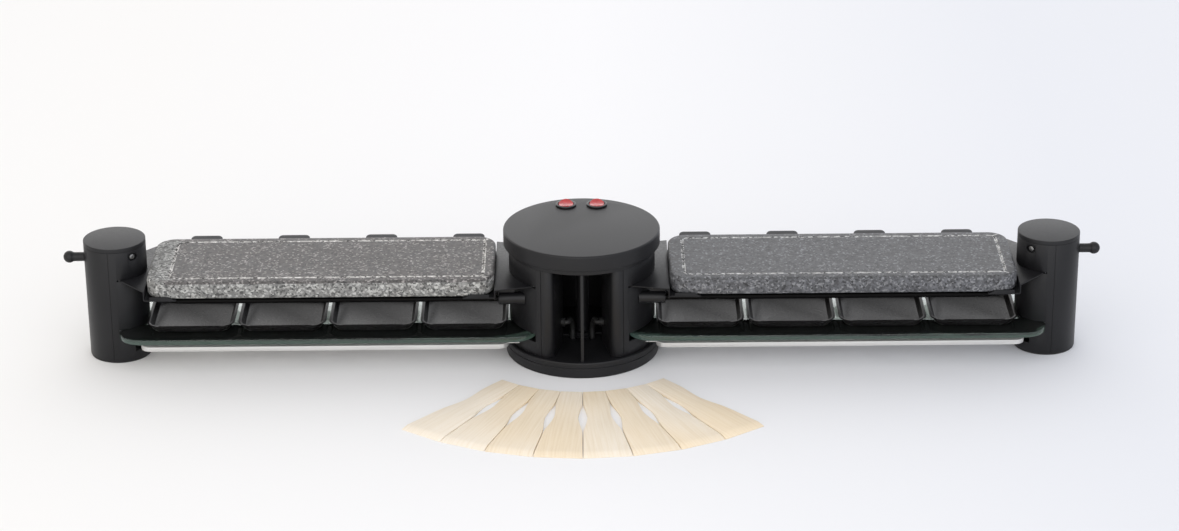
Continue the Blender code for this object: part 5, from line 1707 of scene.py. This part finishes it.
@dataclass
class Studio:
    """Floor, soft lights and the camera at the photograph's place."""

    camera_place: Point = (0.0079, -3.226, 1.466)
    yaw: float = math.radians(-0.01)
    pitch: float = math.radians(22.98)
    roll: float = math.radians(-0.50)
    focal_pixels: float = 3179.6
    image_width: int = 1179
    sensor: float = 36
    # How bright the surroundings are at the sides and above, behind the object, and behind the camera
    even: float = 0.92
    behind: float = 1.85
    before: float = 2.3

    def build(self) -> None:
        """Sets up the stage."""
        self.camera()
        self.floor()
        self.world()
        self.light("overhead", (-0.3, 0.1, 2.4), (0, 0, 0.05), (3.2, 2.0), 3.0, "#ffffff")
        self.light("front_left", (-2.0, -1.5, 1.9), (-0.1, 0, 0.05), (1.2, 1.2), 2.5, "#fff8f1")
        self.light("front_right", (2.2, -1.5, 1.5), (0.1, 0, 0.05), (1.2, 1.2), 0.8, "#f2f6ff")

    def camera(self) -> None:
        """Places the camera."""
        level = math.cos(self.pitch)
        forward = Vector((-math.sin(self.yaw) * level, math.cos(self.yaw) * level, -math.sin(self.pitch)))
        right = Vector((math.cos(self.yaw), math.sin(self.yaw), 0))
        up = right.cross(forward)
        rolled_right = right * math.cos(self.roll) + up * math.sin(self.roll)
        rolled_up = up * math.cos(self.roll) - right * math.sin(self.roll)
        matrix = Matrix((rolled_right, rolled_up, -forward)).transposed().to_4x4()
        matrix.translation = Vector(self.camera_place)
        data = bpy.data.cameras.new("photo_camera")
        data.lens = self.focal_pixels / self.image_width * self.sensor
        data.sensor_width = self.sensor
        data.clip_end = 50
        camera = bpy.data.objects.new("photo_camera", data)
        bpy.context.scene.collection.objects.link(camera)
        camera.matrix_world = matrix
        bpy.context.scene.camera = camera

    def floor(self) -> None:
        """Lays a pale floor, a touch warmer on the left and cooler on the right, where painted shade also
        darkens it.
        """
        fresh()
        bpy.ops.mesh.primitive_plane_add(size=12, location=(0, 0, 0))
        floor = Workpiece("studio_floor").settle()
        made = bpy.data.materials.new("Pale seamless paper")
        made.use_nodes = True
        tree = made.node_tree
        tree.nodes.clear()
        place = add_node(tree, NodeKind.COORDINATES).outputs["Object"]
        across = add_node(tree, NodeKind.SPLIT_POINT, {0: place}).outputs["X"]
        share = add_node(tree, NodeKind.RANGE, {"Value": across, "From Min": -0.6, "From Max": 0.6})
        # The right stop is darker as well as cooler: painted shade on that side of the floor
        colour = add_node(tree, NodeKind.RAMP, {"Fac": share},
                          stops=((0.0, "#f1f0ee"), (0.5, "#f1f1f2"), (1.0, "#e4e6eb")))
        shader = add_node(tree, NodeKind.PRINCIPLED, {
            "Base Color": colour, "Roughness": 0.9, "Specular IOR Level": 0.05})
        add_node(tree, NodeKind.OUTPUT, {"Surface": shader})
        floor.obj.data.materials.append(made)

    def world(self) -> None:
        """Surrounds the stage with a white sweep: brightest behind, even above, warmer on the left."""
        world = bpy.data.worlds.new("studio")
        bpy.context.scene.world = world
        world.use_nodes = True
        tree = world.node_tree
        background = tree.nodes["Background"]
        way = add_node(tree, NodeKind.COORDINATES).outputs["Generated"]
        parts = add_node(tree, NodeKind.SPLIT_POINT, {0: way})
        behind = add_node(tree, NodeKind.RANGE, {
            "Value": parts.outputs["Y"], "From Min": 0.4, "From Max": 1.0, "To Min": self.even,
            "To Max": self.behind})
        before = add_node(tree, NodeKind.RANGE, {
            "Value": parts.outputs["Y"], "From Min": -0.45, "From Max": -1.0, "To Min": self.even,
            "To Max": self.before})
        depth = add_node(tree, NodeKind.MATH, {0: behind, 1: before}, operation="MAXIMUM")
        across = add_node(tree, NodeKind.RANGE, {
            "Value": parts.outputs["X"], "From Min": -0.8, "From Max": 0.8})
        tint = add_node(tree, NodeKind.RAMP, {"Fac": across},
                        stops=((0.0, "#fffbf7"), (0.5, "#fafafb"), (1.0, "#e9ecf4")))
        tree.links.new(tint.outputs[0], background.inputs["Color"])
        tree.links.new(depth.outputs[0], background.inputs["Strength"])

    def light(self, name: str, place: Point, aim: Point, size: Station, power: float, colour: str) -> None:
        """Adds one soft box.

        Args:
            name: The lamp's name.
            place: Where it hangs.
            aim: The point it faces.
            size: Its two sides.
            power: Its power in watts.
            colour: Its colour.
        """
        data = bpy.data.lights.new(name, "AREA")
        data.shape = "RECTANGLE"
        data.size, data.size_y = size
        data.energy = power
        data.color = hex_linear(colour)[:3]
        lamp = bpy.data.objects.new(name, data)
        bpy.context.scene.collection.objects.link(lamp)
        lamp.location = place
        lamp.rotation_euler = (Vector(aim) - Vector(place)).to_track_quat("-Z", "Y").to_euler()


def main() -> None:
    """Builds the studio, the hub, both wings and the spatulas, in this order."""
    logging.basicConfig(level=logging.INFO, format="%(message)s")
    bpy.context.scene.view_settings.view_transform = "Standard"
    Studio().build()
    Hub().build()
    for side in Side:
        Wing(side).build()
    Spatulas().build()
    fresh()


if __name__ == "__main__":
    main()
